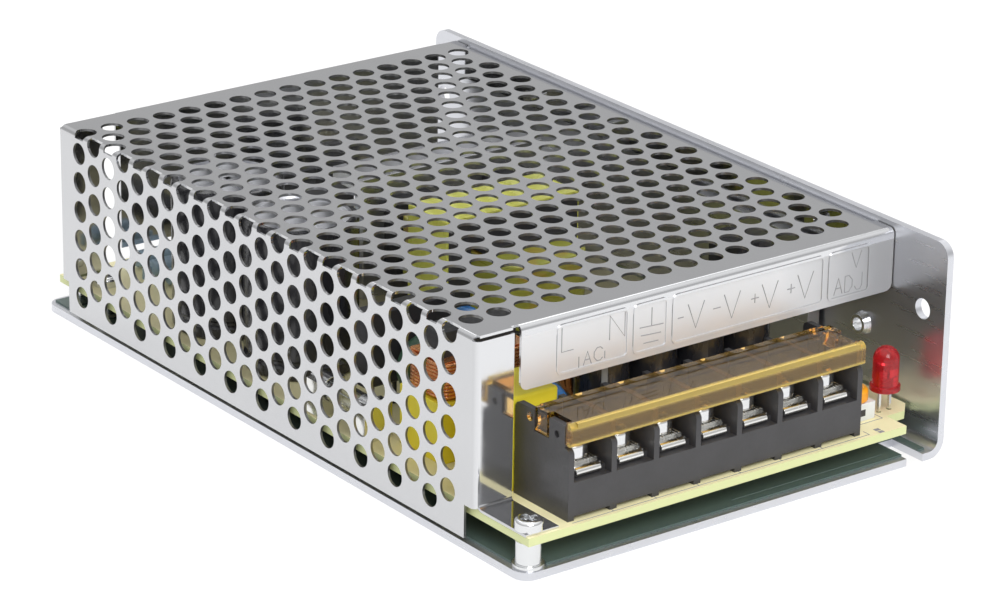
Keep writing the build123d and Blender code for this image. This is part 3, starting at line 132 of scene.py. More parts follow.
# Roughness from and to, metallic, fine pattern per metre (along X, Y and Z, or one for all three),
# colour spread, bump in millimetres and further sockets of the shader.
FINISHES = {
    "sheet_steel": (0.07, 0.12, 0.96, (420, 60, 420), 0.03, 0.0, {}),
    "aluminium": (0.26, 0.34, 0.92, (300, 60, 900), 0.03, 0.0, {}),
    "mark": (0.60, 0.70, 0.0, 900, 0.10, 0.0, {}),
    "film": (0.20, 0.26, 0.0, 160, 0.05, 0.0, {"IOR": 1.52}),
    "nickel": (0.10, 0.20, 0.97, (900, 900, 300), 0.06, 0.002, {}),
    "tin": (0.12, 0.28, 1.0, (1400, 500, 500), 0.07, 0.004, {}),
    "black_plastic": (0.36, 0.48, 0.0, 1500, 0.08, 0.006, {}),
    "white_plastic": (0.35, 0.45, 0.0, 900, 0.03, 0.004, {"Subsurface Weight": 0.1}),
    "orange_plastic": (0.30, 0.42, 0.0, 900, 0.04, 0.004, {"Subsurface Weight": 0.1}),
    "ferrite": (0.55, 0.75, 0.0, 1200, 0.20, 0.020, {}),
    "yellow_tape": (0.20, 0.38, 0.0, (250, 250, 90), 0.06, 0.020, coat(0.4, 0.12)),
    "can_sleeve": (0.20, 0.32, 0.0, (500, 500, 200), 0.10, 0.006, coat(0.3)),
    "can_stripe": (0.25, 0.36, 0.0, (500, 500, 200), 0.04, 0.004, coat(0.3)),
    "copper": (0.18, 0.30, 0.75, 700, 0.10, 0.003, coat(0.5)),
    "yellow_plastic": (0.32, 0.45, 0.0, 900, 0.06, 0.005, {}),
    "blue_coat": (0.18, 0.34, 0.0, 700, 0.12, 0.020, coat(0.4)),
    "glass": (0.02, 0.05, 0.0, 300, 0.01, 0.0, {"Transmission Weight": 1.0, "IOR": 1.50}),
    "dark_coat": (0.30, 0.45, 0.0, 900, 0.15, 0.020, {}),
    "resistor_coat": (0.28, 0.40, 0.0, 900, 0.08, 0.008, {}),
    "film_box": (0.28, 0.40, 0.0, 900, 0.08, 0.004, {}),
    "mould_compound": (0.42, 0.55, 0.0, 1500, 0.12, 0.006, {}),
    "red_lens": (0.06, 0.14, 0.0, 300, 0.04, 0.002, {"Transmission Weight": 0.75, "IOR": 1.46}),
}
made_finishes = {}


class NodeSheet:
    """A material with short ways to add and join its nodes."""

    def __init__(self, name):
        self.material = bpy.data.materials.new(name)
        self.material.use_nodes = True
        self.tree = self.material.node_tree
        self.shader = self.tree.nodes["Principled BSDF"]

    def add(self, kind, inputs=(), **settings):
        """A node with its settings, and with its sockets set or joined."""
        node = self.tree.nodes.new(kind)
        for key, value in settings.items():
            setattr(node, key, value)
        for key, value in dict(inputs).items():
            if isinstance(value, bpy.types.NodeSocket):
                self.tree.links.new(value, node.inputs[key])
            else:
                node.inputs[key].default_value = value
        return node

    def join(self, output, socket):
        """A link to a socket of the shader."""
        self.tree.links.new(output, self.shader.inputs[socket])

    def compute(self, operation, *values):
        """The output of an operation on numbers and outputs."""
        return self.add("ShaderNodeMath", dict(enumerate(values)), operation=operation).outputs[0]

    def place(self):
        """The Object coordinates of the place that is shaded."""
        return self.add("ShaderNodeTexCoord").outputs["Object"]

    def axes(self, vector):
        """The X, Y and Z of a vector, by name."""
        return self.add("ShaderNodeSeparateXYZ", {"Vector": vector}).outputs

    def noise(self, per_metre, share=1.0, detail=3.0):
        """Noise on Object coordinates, its scale given for each axis or once for all."""
        scales = per_metre if isinstance(per_metre, tuple) else (per_metre,) * 3
        scales = tuple(scale * share for scale in scales)
        mapping = self.add("ShaderNodeMapping", {"Vector": self.place(), "Scale": scales})
        noise = self.add(
            "ShaderNodeTexNoise",
            {"Vector": mapping.outputs["Vector"], "Scale": 1.0, "Detail": detail},
        )
        return noise.outputs["Fac"]

    def between(self, factor, low, high, start=0.3, end=0.7):
        """A number that runs from low to high with a factor."""
        ranged = self.add(
            "ShaderNodeMapRange",
            {"Value": factor, "From Min": start, "From Max": end, "To Min": low, "To Max": high},
        )
        return ranged.outputs["Result"]

    def blend(self, factor, first, second):
        """A colour that runs from the first to the second with a factor."""
        mix = self.add("ShaderNodeMix", data_type="RGBA")
        self.tree.links.new(factor, mix.inputs["Factor"])
        for socket, value in ((mix.inputs[6], first), (mix.inputs[7], second)):
            if isinstance(value, bpy.types.NodeSocket):
                self.tree.links.new(value, socket)
            else:
                socket.default_value = (*value, 1.0)
        return mix.outputs[2]

    def bump(self, height, distance):
        """Surface relief of a depth in millimetres."""
        depth = distance * MM
        node = self.add("ShaderNodeBump", {"Height": height, "Strength": 1.0, "Distance": depth})
        self.join(node.outputs["Normal"], "Normal")

    def mottled(self, pattern, colour, darker, lighter):
        """A colour that a pattern makes darker and lighter."""
        factor = self.between(pattern, 0.0, 1.0)
        return self.blend(factor, shade(colour, darker), shade(colour, lighter))


def shade(colour, factor):
    """A colour made lighter or darker, kept in range."""
    return tuple(min(1.0, channel * factor) for channel in colour)


def finish(name):
    """The material of one plain finish."""
    colour = tuple(getattr(bpy.context.scene.supply_finishes, name))
    smooth, rough, metallic, grain, spread, relief, sockets = FINISHES[name]
    sheet = NodeSheet(name)
    sheet.shader.inputs["Metallic"].default_value = metallic
    for socket, value in sockets.items():
        sheet.shader.inputs[socket].default_value = value
    fine = sheet.noise(grain)
    cloudy = sheet.noise(grain, CLOUDS, detail=2.0)
    sheet.join(sheet.between(fine, smooth, rough), "Roughness")
    sheet.join(sheet.mottled(cloudy, colour, 1 - spread, 1 + spread), "Base Color")
    if relief:
        sheet.bump(fine, relief)
    return sheet.material


def board_finish():
    """Pale laminate with a weave, greener at its cut edges, and with painted shade deep under the
    cover.
    """
    colours = bpy.context.scene.supply_finishes
    face, edge = tuple(colours.board), tuple(colours.board_edge)
    # Where the painted shade begins and is full, along X from the left and along Y behind the front
    # flange, and how dark it is.
    painted_shade_x, painted_shade_y, painted_shade = (-34 * MM, -14 * MM), (2 * MM, 8 * MM), 0.34
    sheet = NodeSheet("board")
    normal = sheet.add("ShaderNodeNewGeometry").outputs["Normal"]
    steep = sheet.compute("ABSOLUTE", sheet.axes(normal)["Z"])
    laminate = sheet.mottled(sheet.noise(90), face, 0.95, 1.03)
    place, front = sheet.axes(sheet.place()), frame_front()
    inward = sheet.between(place["X"], 0.0, 1.0, *painted_shade_x)
    behind = sheet.between(place["Y"], 0.0, 1.0, *(front + depth for depth in painted_shade_y))
    # Painted shade: the laminate is darkened deep inside, where the parts above would shade it.
    deep = sheet.compute("MULTIPLY", inward, behind)
    laminate = sheet.blend(deep, laminate, shade(face, painted_shade))
    level = sheet.between(steep, 0.0, 1.0, 0.4, 0.6)
    sheet.join(sheet.blend(level, edge, laminate), "Base Color")
    weave = sheet.noise((1600, 700, 700))
    sheet.join(sheet.between(weave, 0.38, 0.52), "Roughness")
    sheet.bump(weave, 0.004)
    return sheet.material


def winding_finish():
    """Layers of yellow tape through which the copper under them shows in places."""
    colours = bpy.context.scene.supply_finishes
    tape, warm = tuple(colours.winding), tuple(colours.winding_warm)
    sheet = NodeSheet("winding")
    layers = sheet.noise((60, 60, 900))
    patches = sheet.between(sheet.noise((110, 110, 160)), 0.0, 1.0, 0.50, 0.62)
    sheet.join(sheet.blend(patches, sheet.mottled(layers, tape, 0.8, 1.2), warm), "Base Color")
    sheet.join(sheet.between(layers, 0.22, 0.42), "Roughness")
    sheet.shader.inputs["Coat Weight"].default_value = 0.4
    sheet.bump(layers, 0.04)
    return sheet.material


def cover_finish():
    """Mirror-bright sheet, duller on its front panel, with dark rough walls in its holes, a painted
    lighter front and a painted shadow towards the right end of its front panel.
    """
    colour = tuple(bpy.context.scene.supply_finishes.sheet_steel)
    smooth, rough, metallic, grain, spread, _, _ = FINISHES["sheet_steel"]
    low, high = (Vector(corner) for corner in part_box("cover"))
    front = frame_front()
    # Reach of a fold, of the punched walls into the sheet, of the corner left of the panel and
    # of the panel's skin, then where the shade grows along it, from its right end.
    fold, sheet_depth, corner, skin = 2.0 * MM, 0.8 * MM, 9.0 * MM, 0.1 * MM
    shadow_start, shadow_full = high.x - 28 * MM, high.x - 4 * MM
    # A punched wall's normal has less than this along the sheet's own normal.
    slope = 0.3
    # Shade of the punched walls, the painted lightening of the front-facing sheet, and how deep the
    # painted shadow gets.
    wall_shade, painted_front_light, shadow_depth = 0.55, 1.2, 0.45
    panel_metallic, dulling = 0.45, 0.26
    sheet = NodeSheet("cover_metal")
    geometry = sheet.add("ShaderNodeNewGeometry")
    normal, place = sheet.axes(geometry.outputs["Normal"]), sheet.axes(sheet.place())

    def above(value, limit):
        """One where the value is greater, zero elsewhere."""
        return sheet.compute("GREATER_THAN", value, limit)

    def below(value, limit):
        """One where the value is less, zero elsewhere."""
        return sheet.compute("LESS_THAN", value, limit)

    def every(first, *others):
        """The product of masks, one where all are one."""
        for mask in others:
            first = sheet.compute("MULTIPLY", first, mask)
        return first

    behind_fold = above(place["Y"], front + fold)
    top_walls = every(
        above(place["Z"], high.z - sheet_depth),
        below(sheet.compute("ABSOLUTE", normal["Z"]), slope),
        above(place["X"], low.x + fold),
        behind_fold,
    )
    side_walls = every(
        below(place["X"], low.x + sheet_depth),
        below(sheet.compute("ABSOLUTE", normal["X"]), slope),
        below(place["Z"], high.z - fold),
        behind_fold,
    )
    walls = sheet.compute("MAXIMUM", top_walls, side_walls)
    panel = every(
        below(place["Y"], front + skin),
        above(place["X"], low.x + corner),
        below(place["Z"], high.z - fold),
    )
    fine = sheet.noise(grain)
    cloudy = sheet.noise(grain, CLOUDS, detail=2.0)
    face = sheet.mottled(cloudy, colour, 1 - spread, 1 + spread)
    # Painted light: faces turned to the front are made lighter, as if lit from the front.
    painted_front_light_mask = sheet.between(normal["Y"], 1.0, 0.0, -1.0, -0.4)
    face = sheet.blend(painted_front_light_mask, face, shade(colour, painted_front_light))
    shadow = sheet.between(place["X"], 0.0, shadow_depth, shadow_start, shadow_full)
    face = sheet.blend(every(shadow, panel), face, (0.0, 0.0, 0.0))
    sheet.join(sheet.blend(walls, face, shade(colour, wall_shade)), "Base Color")
    sheet.join(sheet.between(panel, metallic, panel_metallic, 0.0, 1.0), "Metallic")
    dull = sheet.compute("MULTIPLY", sheet.compute("MAXIMUM", walls, panel), dulling)
    sheet.join(sheet.compute("ADD", sheet.between(fine, smooth, rough), dull), "Roughness")
    return sheet.material


def amber_finish():
    """Clear amber plastic with a painted golden glow along its lip's upper and lower edge, standing
    in for light gathered inside it.
    """
    colours = bpy.context.scene.supply_finishes
    colour, glow = tuple(colours.amber), tuple(colours.amber_painted_glow)
    low, high = (Vector(corner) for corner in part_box("terminal_cover"))
    # How clear the top and the lip are, and how much of that the painted golden glow takes away.
    top_clear, lip_clear, painted_glow_loss = 0.995, 0.93, 0.28
    # From where to where the lip ends behind its front, and its painted glow fades from top and
    # bottom.
    lip_end, top_fade, bottom_fade = (0.9, 1.3), (1.5, 0.9), (0.5, 1.0)
    sheet = NodeSheet("amber")
    place = sheet.axes(sheet.place())
    lip = sheet.between(place["Y"], 1.0, 0.0, *(low.y + depth * MM for depth in lip_end))
    upper = sheet.between(place["Z"], 0.0, 1.0, *(high.z - depth * MM for depth in top_fade))
    lower = sheet.between(place["Z"], 1.0, 0.0, *(low.z + depth * MM for depth in bottom_fade))
    # Painted glow: golden colour along the lip's upper and lower edge.
    edges = sheet.compute("MULTIPLY", sheet.compute("MAXIMUM", upper, lower), lip)
    waves = sheet.noise((200, 500, 500))
    sheet.join(sheet.blend(edges, sheet.mottled(waves, colour, 0.97, 1.03), glow), "Base Color")
    clear = sheet.between(lip, top_clear, lip_clear, 0.0, 1.0)
    sheet.join(sheet.compute("MULTIPLY_ADD", edges, -painted_glow_loss, clear), "Transmission Weight")
    sheet.join(sheet.between(waves, 0.005, 0.02), "Roughness")
    sheet.shader.inputs["IOR"].default_value = 1.49
    sheet.bump(waves, 0.002)
    return sheet.material


OWN_FINISHES = {
    "board": board_finish,
    "winding": winding_finish,
    "cover_metal": cover_finish,
    "amber": amber_finish,
}


def surface(name):
    """Any finish by name, plain or with its own nodes, made when it is first asked for."""
    if name not in made_finishes:
        made_finishes[name] = OWN_FINISHES[name]() if name in OWN_FINISHES else finish(name)
    return made_finishes[name]


def dress_node(node, material):
    """Gives a CAD node that stays a better material."""
    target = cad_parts[node].data
    if not target.materials:
        target.materials.append(surface(material))
    for index in range(len(target.materials)):
        target.materials[index] = surface(material)


def new_piece(name, work, materials, body="case", replaces=(), smooth_angle=35):
    """An object from a finished bmesh, in its place, riding on its body."""
    mesh = bpy.data.meshes.new(name)
    work.to_mesh(mesh)
    work.free()
    for attribute in ("custom_normal", "sharp_edge", "sharp_face"):
        if attribute in mesh.attributes:
            mesh.attributes.remove(mesh.attributes[attribute])
    mesh.shade_smooth()
    mesh.set_sharp_from_angle(angle=math.radians(smooth_angle))
    for material in materials:
        mesh.materials.append(surface(material))
    piece = bpy.data.objects.new(name, mesh)
    bpy.context.scene.collection.objects.link(piece)
    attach(piece, body)
    if replaces:
        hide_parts(*replaces)
    return piece


def merged(node):
    """A CAD node's mesh as a bmesh, its loose triangles merged and its flat faces joined."""
    work = bmesh.new()
    work.from_mesh(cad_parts[node].data)
    bmesh.ops.remove_doubles(work, verts=work.verts[:], dist=SAME)
    bmesh.ops.dissolve_limit(
        work, angle_limit=math.radians(0.5), verts=work.verts[:], edges=work.edges[:]
    )
    return work


def round_edges(piece, width, segments=2, angle=42):
    """Rounds the piece's edges with a live bevel."""
    bevel = piece.modifiers.new("rounded edges", "BEVEL")
    bevel.width = width
    bevel.segments = segments
    bevel.profile = 0.5
    bevel.affect = "EDGES"
    bevel.material = -1
    bevel.limit_method = "ANGLE"
    bevel.angle_limit = math.radians(angle)
    bevel.harden_normals = True
    return piece


def rounded_node(node, material, edge, body="case"):
    """A CAD node's shape as a new piece with rounded edges."""
    piece = new_piece(node + "_finished", merged(node), [material], body, [node])
    return round_edges(piece, edge)


def solids_of(node):
    """Lowest and highest corner of each separate solid in a CAD node, sorted by X and Y."""
    work = merged(node)
    waiting = set(work.verts)
    boxes = []
    while waiting:
        island, reached = set(), [waiting.pop()]
        while reached:
            vert = reached.pop()
            island.add(vert)
            for link in vert.link_edges:
                other = link.other_vert(vert)
                if other in waiting:
                    waiting.discard(other)
                    reached.append(other)
        low = Vector(min(vert.co[axis] for vert in island) for axis in range(3))
        high = Vector(max(vert.co[axis] for vert in island) for axis in range(3))
        boxes.append((low, high))
    work.free()
    return sorted(boxes, key=lambda pair: (round(pair[0].x, 4), round(pair[0].y, 4)))


def paint(verts, index):
    """Gives the faces at these points a material slot."""
    for face in {face for vert in verts for face in vert.link_faces}:
        face.material_index = index


def add_block(work, low, high, index=0):
    """A box between two corners, added to a bmesh."""
    low, high = Vector(low), Vector(high)
    made = bmesh.ops.create_cube(work, size=1.0)["verts"]
    bmesh.ops.scale(work, vec=high - low, verts=made)
    bmesh.ops.translate(work, vec=(low + high) / 2, verts=made)
    paint(made, index)
    return made


def add_rod(work, start, end, diameter, sides=12, index=0):
    """A round rod between two points, added to a bmesh."""
    start, end = Vector(start), Vector(end)
    along = end - start
    turn = along.to_track_quat("Z", "Y").to_matrix().to_4x4()
    made = bmesh.ops.create_cone(
        work, cap_ends=True, segments=sides, radius1=diameter / 2, radius2=diameter / 2,
        depth=along.length, matrix=Matrix.Translation((start + end) / 2) @ turn,
    )["verts"]
    paint(made, index)
    return made


def turned(work, profile, steps=48, index_of=None):
    """A closed turned shape from (radius, height) points that start and end on the axis."""
    before = set(work.faces)
    points = [work.verts.new((radius, 0.0, height)) for radius, height in profile]
    edges = [work.edges.new(pair) for pair in zip(points, points[1:])]
    bmesh.ops.spin(
        work, geom=points + edges, cent=(0, 0, 0), axis=(0, 0, 1), angle=2 * math.pi,
        steps=steps, use_merge=True,
    )
    made = [face for face in work.faces if face not in before]
    verts = list({vert for face in made for vert in face.verts})
    bmesh.ops.remove_doubles(work, verts=verts, dist=SAME)
    made = [face for face in work.faces if face not in before]
    if index_of:
        for face in made:
            face.material_index = index_of(face.calc_center_median())
    bmesh.ops.recalc_face_normals(work, faces=made)
    return list({vert for face in made for vert in face.verts})


def wire_turns(
    work, radius, wire, turns, rise, steps=28, sides=8, squareness=1.0, half_sizes=None
):
    """Turns of round wire about Z, squared towards a rounded rectangle of the given half sizes."""
    before = set(work.verts)
    ring = bmesh.ops.create_circle(
        work, cap_ends=False, segments=sides, radius=wire / 2,
        matrix=Matrix.Translation((radius, 0, 0)) @ Matrix.Rotation(math.pi / 2, 4, "X"),
    )["verts"]
    edges = list({edge for vert in ring for edge in vert.link_edges})
    whole = rise == 0
    bmesh.ops.spin(
        work, geom=ring + edges, cent=(0, 0, 0), axis=(0, 0, 1),
        dvec=(0, 0, rise / steps), angle=2 * math.pi * turns, steps=steps * turns, use_merge=whole,
    )
    made = [vert for vert in work.verts if vert not in before]
    if half_sizes:
        for vert in made:
            angle = math.atan2(vert.co.y, vert.co.x)
            out = math.hypot(vert.co.x, vert.co.y) - radius
            for axis, share in enumerate((math.cos(angle), math.sin(angle))):
                squared = math.copysign(abs(share) ** squareness, share)
                vert.co[axis] = half_sizes[axis] * squared + out * share
    if not whole:
        rims = [edge for edge in work.edges if edge.is_boundary]
        bmesh.ops.holes_fill(work, edges=rims, sides=sides)
    faces = list({face for vert in made for face in vert.link_faces})
    bmesh.ops.recalc_face_normals(work, faces=faces)
    return made


# Strokes of the marks, in a unit box, drawn as one scribed line each.
STROKES = {
    "L": [[(0, 1), (0, 0), (1, 0)]],
    "N": [[(0, 0), (0, 1), (1, 0), (1, 1)]],
    "A": [[(0, 0), (0.5, 1), (1, 0)], [(0.2, 0.38), (0.8, 0.38)]],
    "C": [[(1, 0.82), (0.75, 1), (0.35, 1), (0, 0.7), (0, 0.3), (0.35, 0), (0.75, 0), (1, 0.18)]],
    "V": [[(0, 1), (0.5, 0), (1, 1)]],
    "D": [[(0, 0), (0, 1), (0.55, 1), (1, 0.7), (1, 0.3), (0.55, 0), (0, 0)]],
    "J": [[(1, 1), (1, 0.25), (0.75, 0), (0.3, 0), (0, 0.25)]],
    "+": [[(0, 0.5), (1, 0.5)], [(0.5, 0), (0.5, 1)]],
    "-": [[(0, 0.5), (1, 0.5)]],
    "|": [[(0.5, 0), (0.5, 1)]],
    "earth": [
        [(0.5, 1), (0.5, 0.48)], [(0, 0.48), (1, 0.44)],
        [(0.06, 0.24), (0.9, 0.20)], [(0.18, 0), (0.8, -0.02)],
    ],
}
# Each mark with its left, right, low and high edge on the front flange, in millimetres.
FLANGE_MARKS = (
    ("L", -30.3, -27.7, 34.1, 38.7), ("N", -19.6, -16.2, 34.0, 38.6),
    ("|", -26.6, -26.2, 30.3, 32.4), ("A", -25.4, -23.6, 30.5, 33.0),
    ("C", -23.0, -21.1, 30.7, 33.2), ("|", -20.8, -20.4, 30.8, 32.2),
    ("earth", -12.8, -7.4, 31.6, 38.1),
    ("-", -4.1, -2.8, 34.0, 35.2), ("V", -1.8, 2.0, 31.9, 36.8),
    ("-", 4.1, 5.8, 34.0, 35.2), ("V", 6.6, 10.4, 31.9, 36.8),
    ("+", 13.0, 14.8, 33.6, 35.4), ("V", 15.5, 19.3, 31.9, 36.8),
    ("+", 21.6, 23.4, 33.6, 35.4), ("V", 24.0, 27.8, 31.9, 36.8),
    ("V", 37.0, 39.4, 35.2, 38.4), ("A", 33.0, 35.0, 30.8, 34.0),
    ("D", 35.6, 37.4, 30.8, 34.0), ("J", 38.0, 39.8, 30.8, 34.0),
)
# Left and right edge of each frame round the marks, and the low and high edge of all, in
# millimetres.
FLANGE_FRAMES = ((-31.4, -15.3), (-14.3, -6.4), (-5.4, 30.4), (31.4, 41.6))
FRAME_HEIGHTS = (29.8, 39.4)


def stroke_piece(name, lines, width, material, body="case"):
    """Thin strokes as one piece: each line is a list of (x, y, z) points in metres."""
    curve = bpy.data.curves.new(name, "CURVE")
    curve.dimensions = "3D"
    curve.bevel_depth = width / 2
    curve.bevel_resolution = 1
    curve.use_fill_caps = True
    for points in lines:
        spline = curve.splines.new("POLY")
        spline.points.add(len(points) - 1)
        for point, place in zip(spline.points, points):
            point.co = (*place, 1.0)
    holder = bpy.data.objects.new(name + "_curve", curve)
    mesh = bpy.data.meshes.new_from_object(holder)
    work = bmesh.new()
    work.from_mesh(mesh)
    bpy.data.objects.remove(holder)
    bpy.data.curves.remove(curve)
    bpy.data.meshes.remove(mesh)
    bmesh.ops.recalc_face_normals(work, faces=work.faces[:])
    return new_piece(name, work, [material], body)


class SupplyOperator(bpy.types.Operator):
    """Base of the supply's operators."""

    bl_options = {"REGISTER", "UNDO"}


class MakeCase(SupplyOperator):
    """Bright metal on the cover and the chassis"""

    bl_idname = "supply.case"
    bl_label = "Case"

    def execute(self, context):
        """The cover and chassis stay the CAD's own sheets."""
        dress_node("cover", "cover_metal")
        dress_node("chassis", "aluminium")
        return {"FINISHED"}


class MakeMarks(SupplyOperator):
    """Stamped terminal marks and frame lines on the front flange"""

    bl_idname = "supply.marks"
    bl_label = "Marks"

    def execute(self, context):
        """Each stroke is a thin bead that is sunk in the flange, thinner in the frames."""
        sizes = context.scene.supply_sizes
        frame_share = 0.7
        front = frame_front()
        lines = []
        for mark, left, right, low, high in FLANGE_MARKS:
            for stroke in STROKES[mark]:
                lines.append([
                    ((left + (right - left) * x) * MM, front, (low + (high - low) * z) * MM)
                    for x, z in stroke
                ])
        stroke_piece("flange_marks", lines, sizes.stroke, "mark")
        outlines = [self.outline(front, *edges, *FRAME_HEIGHTS) for edges in FLANGE_FRAMES]
        stroke_piece("flange_frames", outlines, sizes.stroke * frame_share, "mark")
        return {"FINISHED"}

    def outline(self, front, left, right, low, high):
        """A closed line round one frame, with round corners."""
        radius, steps, points = 2.0, 6, []
        corners = ((right, high, 0), (left, high, 90), (left, low, 180), (right, low, 270))
        for x, z, start in corners:
            middle_x = x - math.copysign(radius, x - (left + right) / 2)
            middle_z = z - math.copysign(radius, z - (low + high) / 2)
            for step in range(steps + 1):
                angle = math.radians(start + 90 * step / steps)
                across = middle_x + radius * math.cos(angle)
                up = middle_z + radius * math.sin(angle)
                points.append((across * MM, front, up * MM))
        return points + points[:1]


def frame_front():
    """Where the front flange's outer face stands, just above the terminal lid."""
    areas, above_lid = {}, 30 * MM
    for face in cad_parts["cover"].data.polygons:
        if face.normal.y < -0.99 and face.center.z > above_lid:
            place = round(face.center.y, 6)
            areas[place] = areas.get(place, 0.0) + face.area
    return max(areas, key=areas.get)


class MakeBoard(SupplyOperator):
    """The circuit board's laminate and its printed lines"""

    bl_idname = "supply.board"
    bl_label = "Board"

    def execute(self, context):
        """Prints the block's outline with ticks, the trimmer's outline and two dots before it."""
        sizes = context.scene.supply_sizes
        dress_node("circuit_board", "board")
        top = Vector(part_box("circuit_board")[1]).z
        block_low, block_high = (Vector(corner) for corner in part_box("terminal_block"))
        trimmer_low, trimmer_high = (Vector(corner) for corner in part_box("trimmer_body"))
        work = bmesh.new()
        half, under, over = sizes.ink / 2, top - 0.02 * MM, top + sizes.ink_depth

        def printed(x0, y0, x1, y1):
            """One printed line along X or Y."""
            add_block(
                work, (min(x0, x1) - half, min(y0, y1) - half, under),
                (max(x0, x1) + half, max(y0, y1) + half, over),
            )

        # The block's line stands before it, from inside its left end to a corner past its right.
        before, inset, corner, tick_gap = 0.75 * MM, 0.6 * MM, 1.6 * MM, 0.05 * MM
        line, far = block_low.y - before, block_high.x + corner
        printed(block_low.x + inset, line, far, line)
        printed(far, line, far, line + corner)
        for bay in range(1, BAYS):
            x = block_low.x + (block_high.x - block_low.x) * bay / BAYS
            printed(x, line, x, block_low.y - tick_gap)
        # The trimmer's outline is open towards the block.
        margin, open_margin = 0.9 * MM, 0.2 * MM
        left, right = trimmer_low.x - open_margin, trimmer_high.x + margin
        near, back = trimmer_low.y - margin, trimmer_high.y + margin
        printed(left, near, right, near)
        printed(right, near, right, back)
        printed(left, back, right, back)
        dot, aside = 0.6 * MM, 0.3 * MM
        middle = (trimmer_low.x + trimmer_high.x) / 2 - aside
        for start, end in ((4.0, 4.9), (5.2, 6.0)):
            add_block(
                work, (middle - dot, trimmer_low.y - end * MM, under),
                (middle + dot, trimmer_low.y - start * MM, over),
            )
        new_piece("board_print", work, ["mark"])
        return {"FINISHED"}


class MakeFilm(SupplyOperator):
    """The insulating film and its fold line"""

    bl_idname = "supply.film"
    bl_label = "Film"

    def execute(self, context):
        """A low bead stands for the crease along the front."""
        sizes = context.scene.supply_sizes
        dress_node("insulation_sheet", "film")
        low, high = (Vector(corner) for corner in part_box("insulation_sheet"))
        # From just right of the middle to short of the right edge, a little behind the front.
        behind, aside, short = 2.1 * MM, 1.8 * MM, 8.8 * MM
        y, start, end = low.y + behind, (low.x + high.x) / 2 + aside, high.x - short
        lines = [[(start, y, high.z), (end, y, high.z)]]
        stroke_piece("film_crease", lines, sizes.crease * 2, "film")
        return {"FINISHED"}


class MakeFasteners(SupplyOperator):
    """Standoffs, screws and the pressed nut"""

    bl_idname = "supply.fasteners"
    bl_label = "Fasteners"

    def execute(self, context):
        """Nickel pieces with broken edges."""
        sizes = context.scene.supply_sizes
        for node in ("standoffs", "board_screws", "cover_screws", "wall_nut"):
            rounded_node(node, "nickel", sizes.metal_edge)
        return {"FINISHED"}


class MakeTerminalBlock(SupplyOperator):
    """The moulded terminal block"""

    bl_idname = "supply.terminal_block"
    bl_label = "Terminal block"

    def execute(self, context):
        """The block's own shape with moulded edges."""
        sizes = context.scene.supply_sizes
        rounded_node("terminal_block", "black_plastic", sizes.plastic_edge)
        return {"FINISHED"}


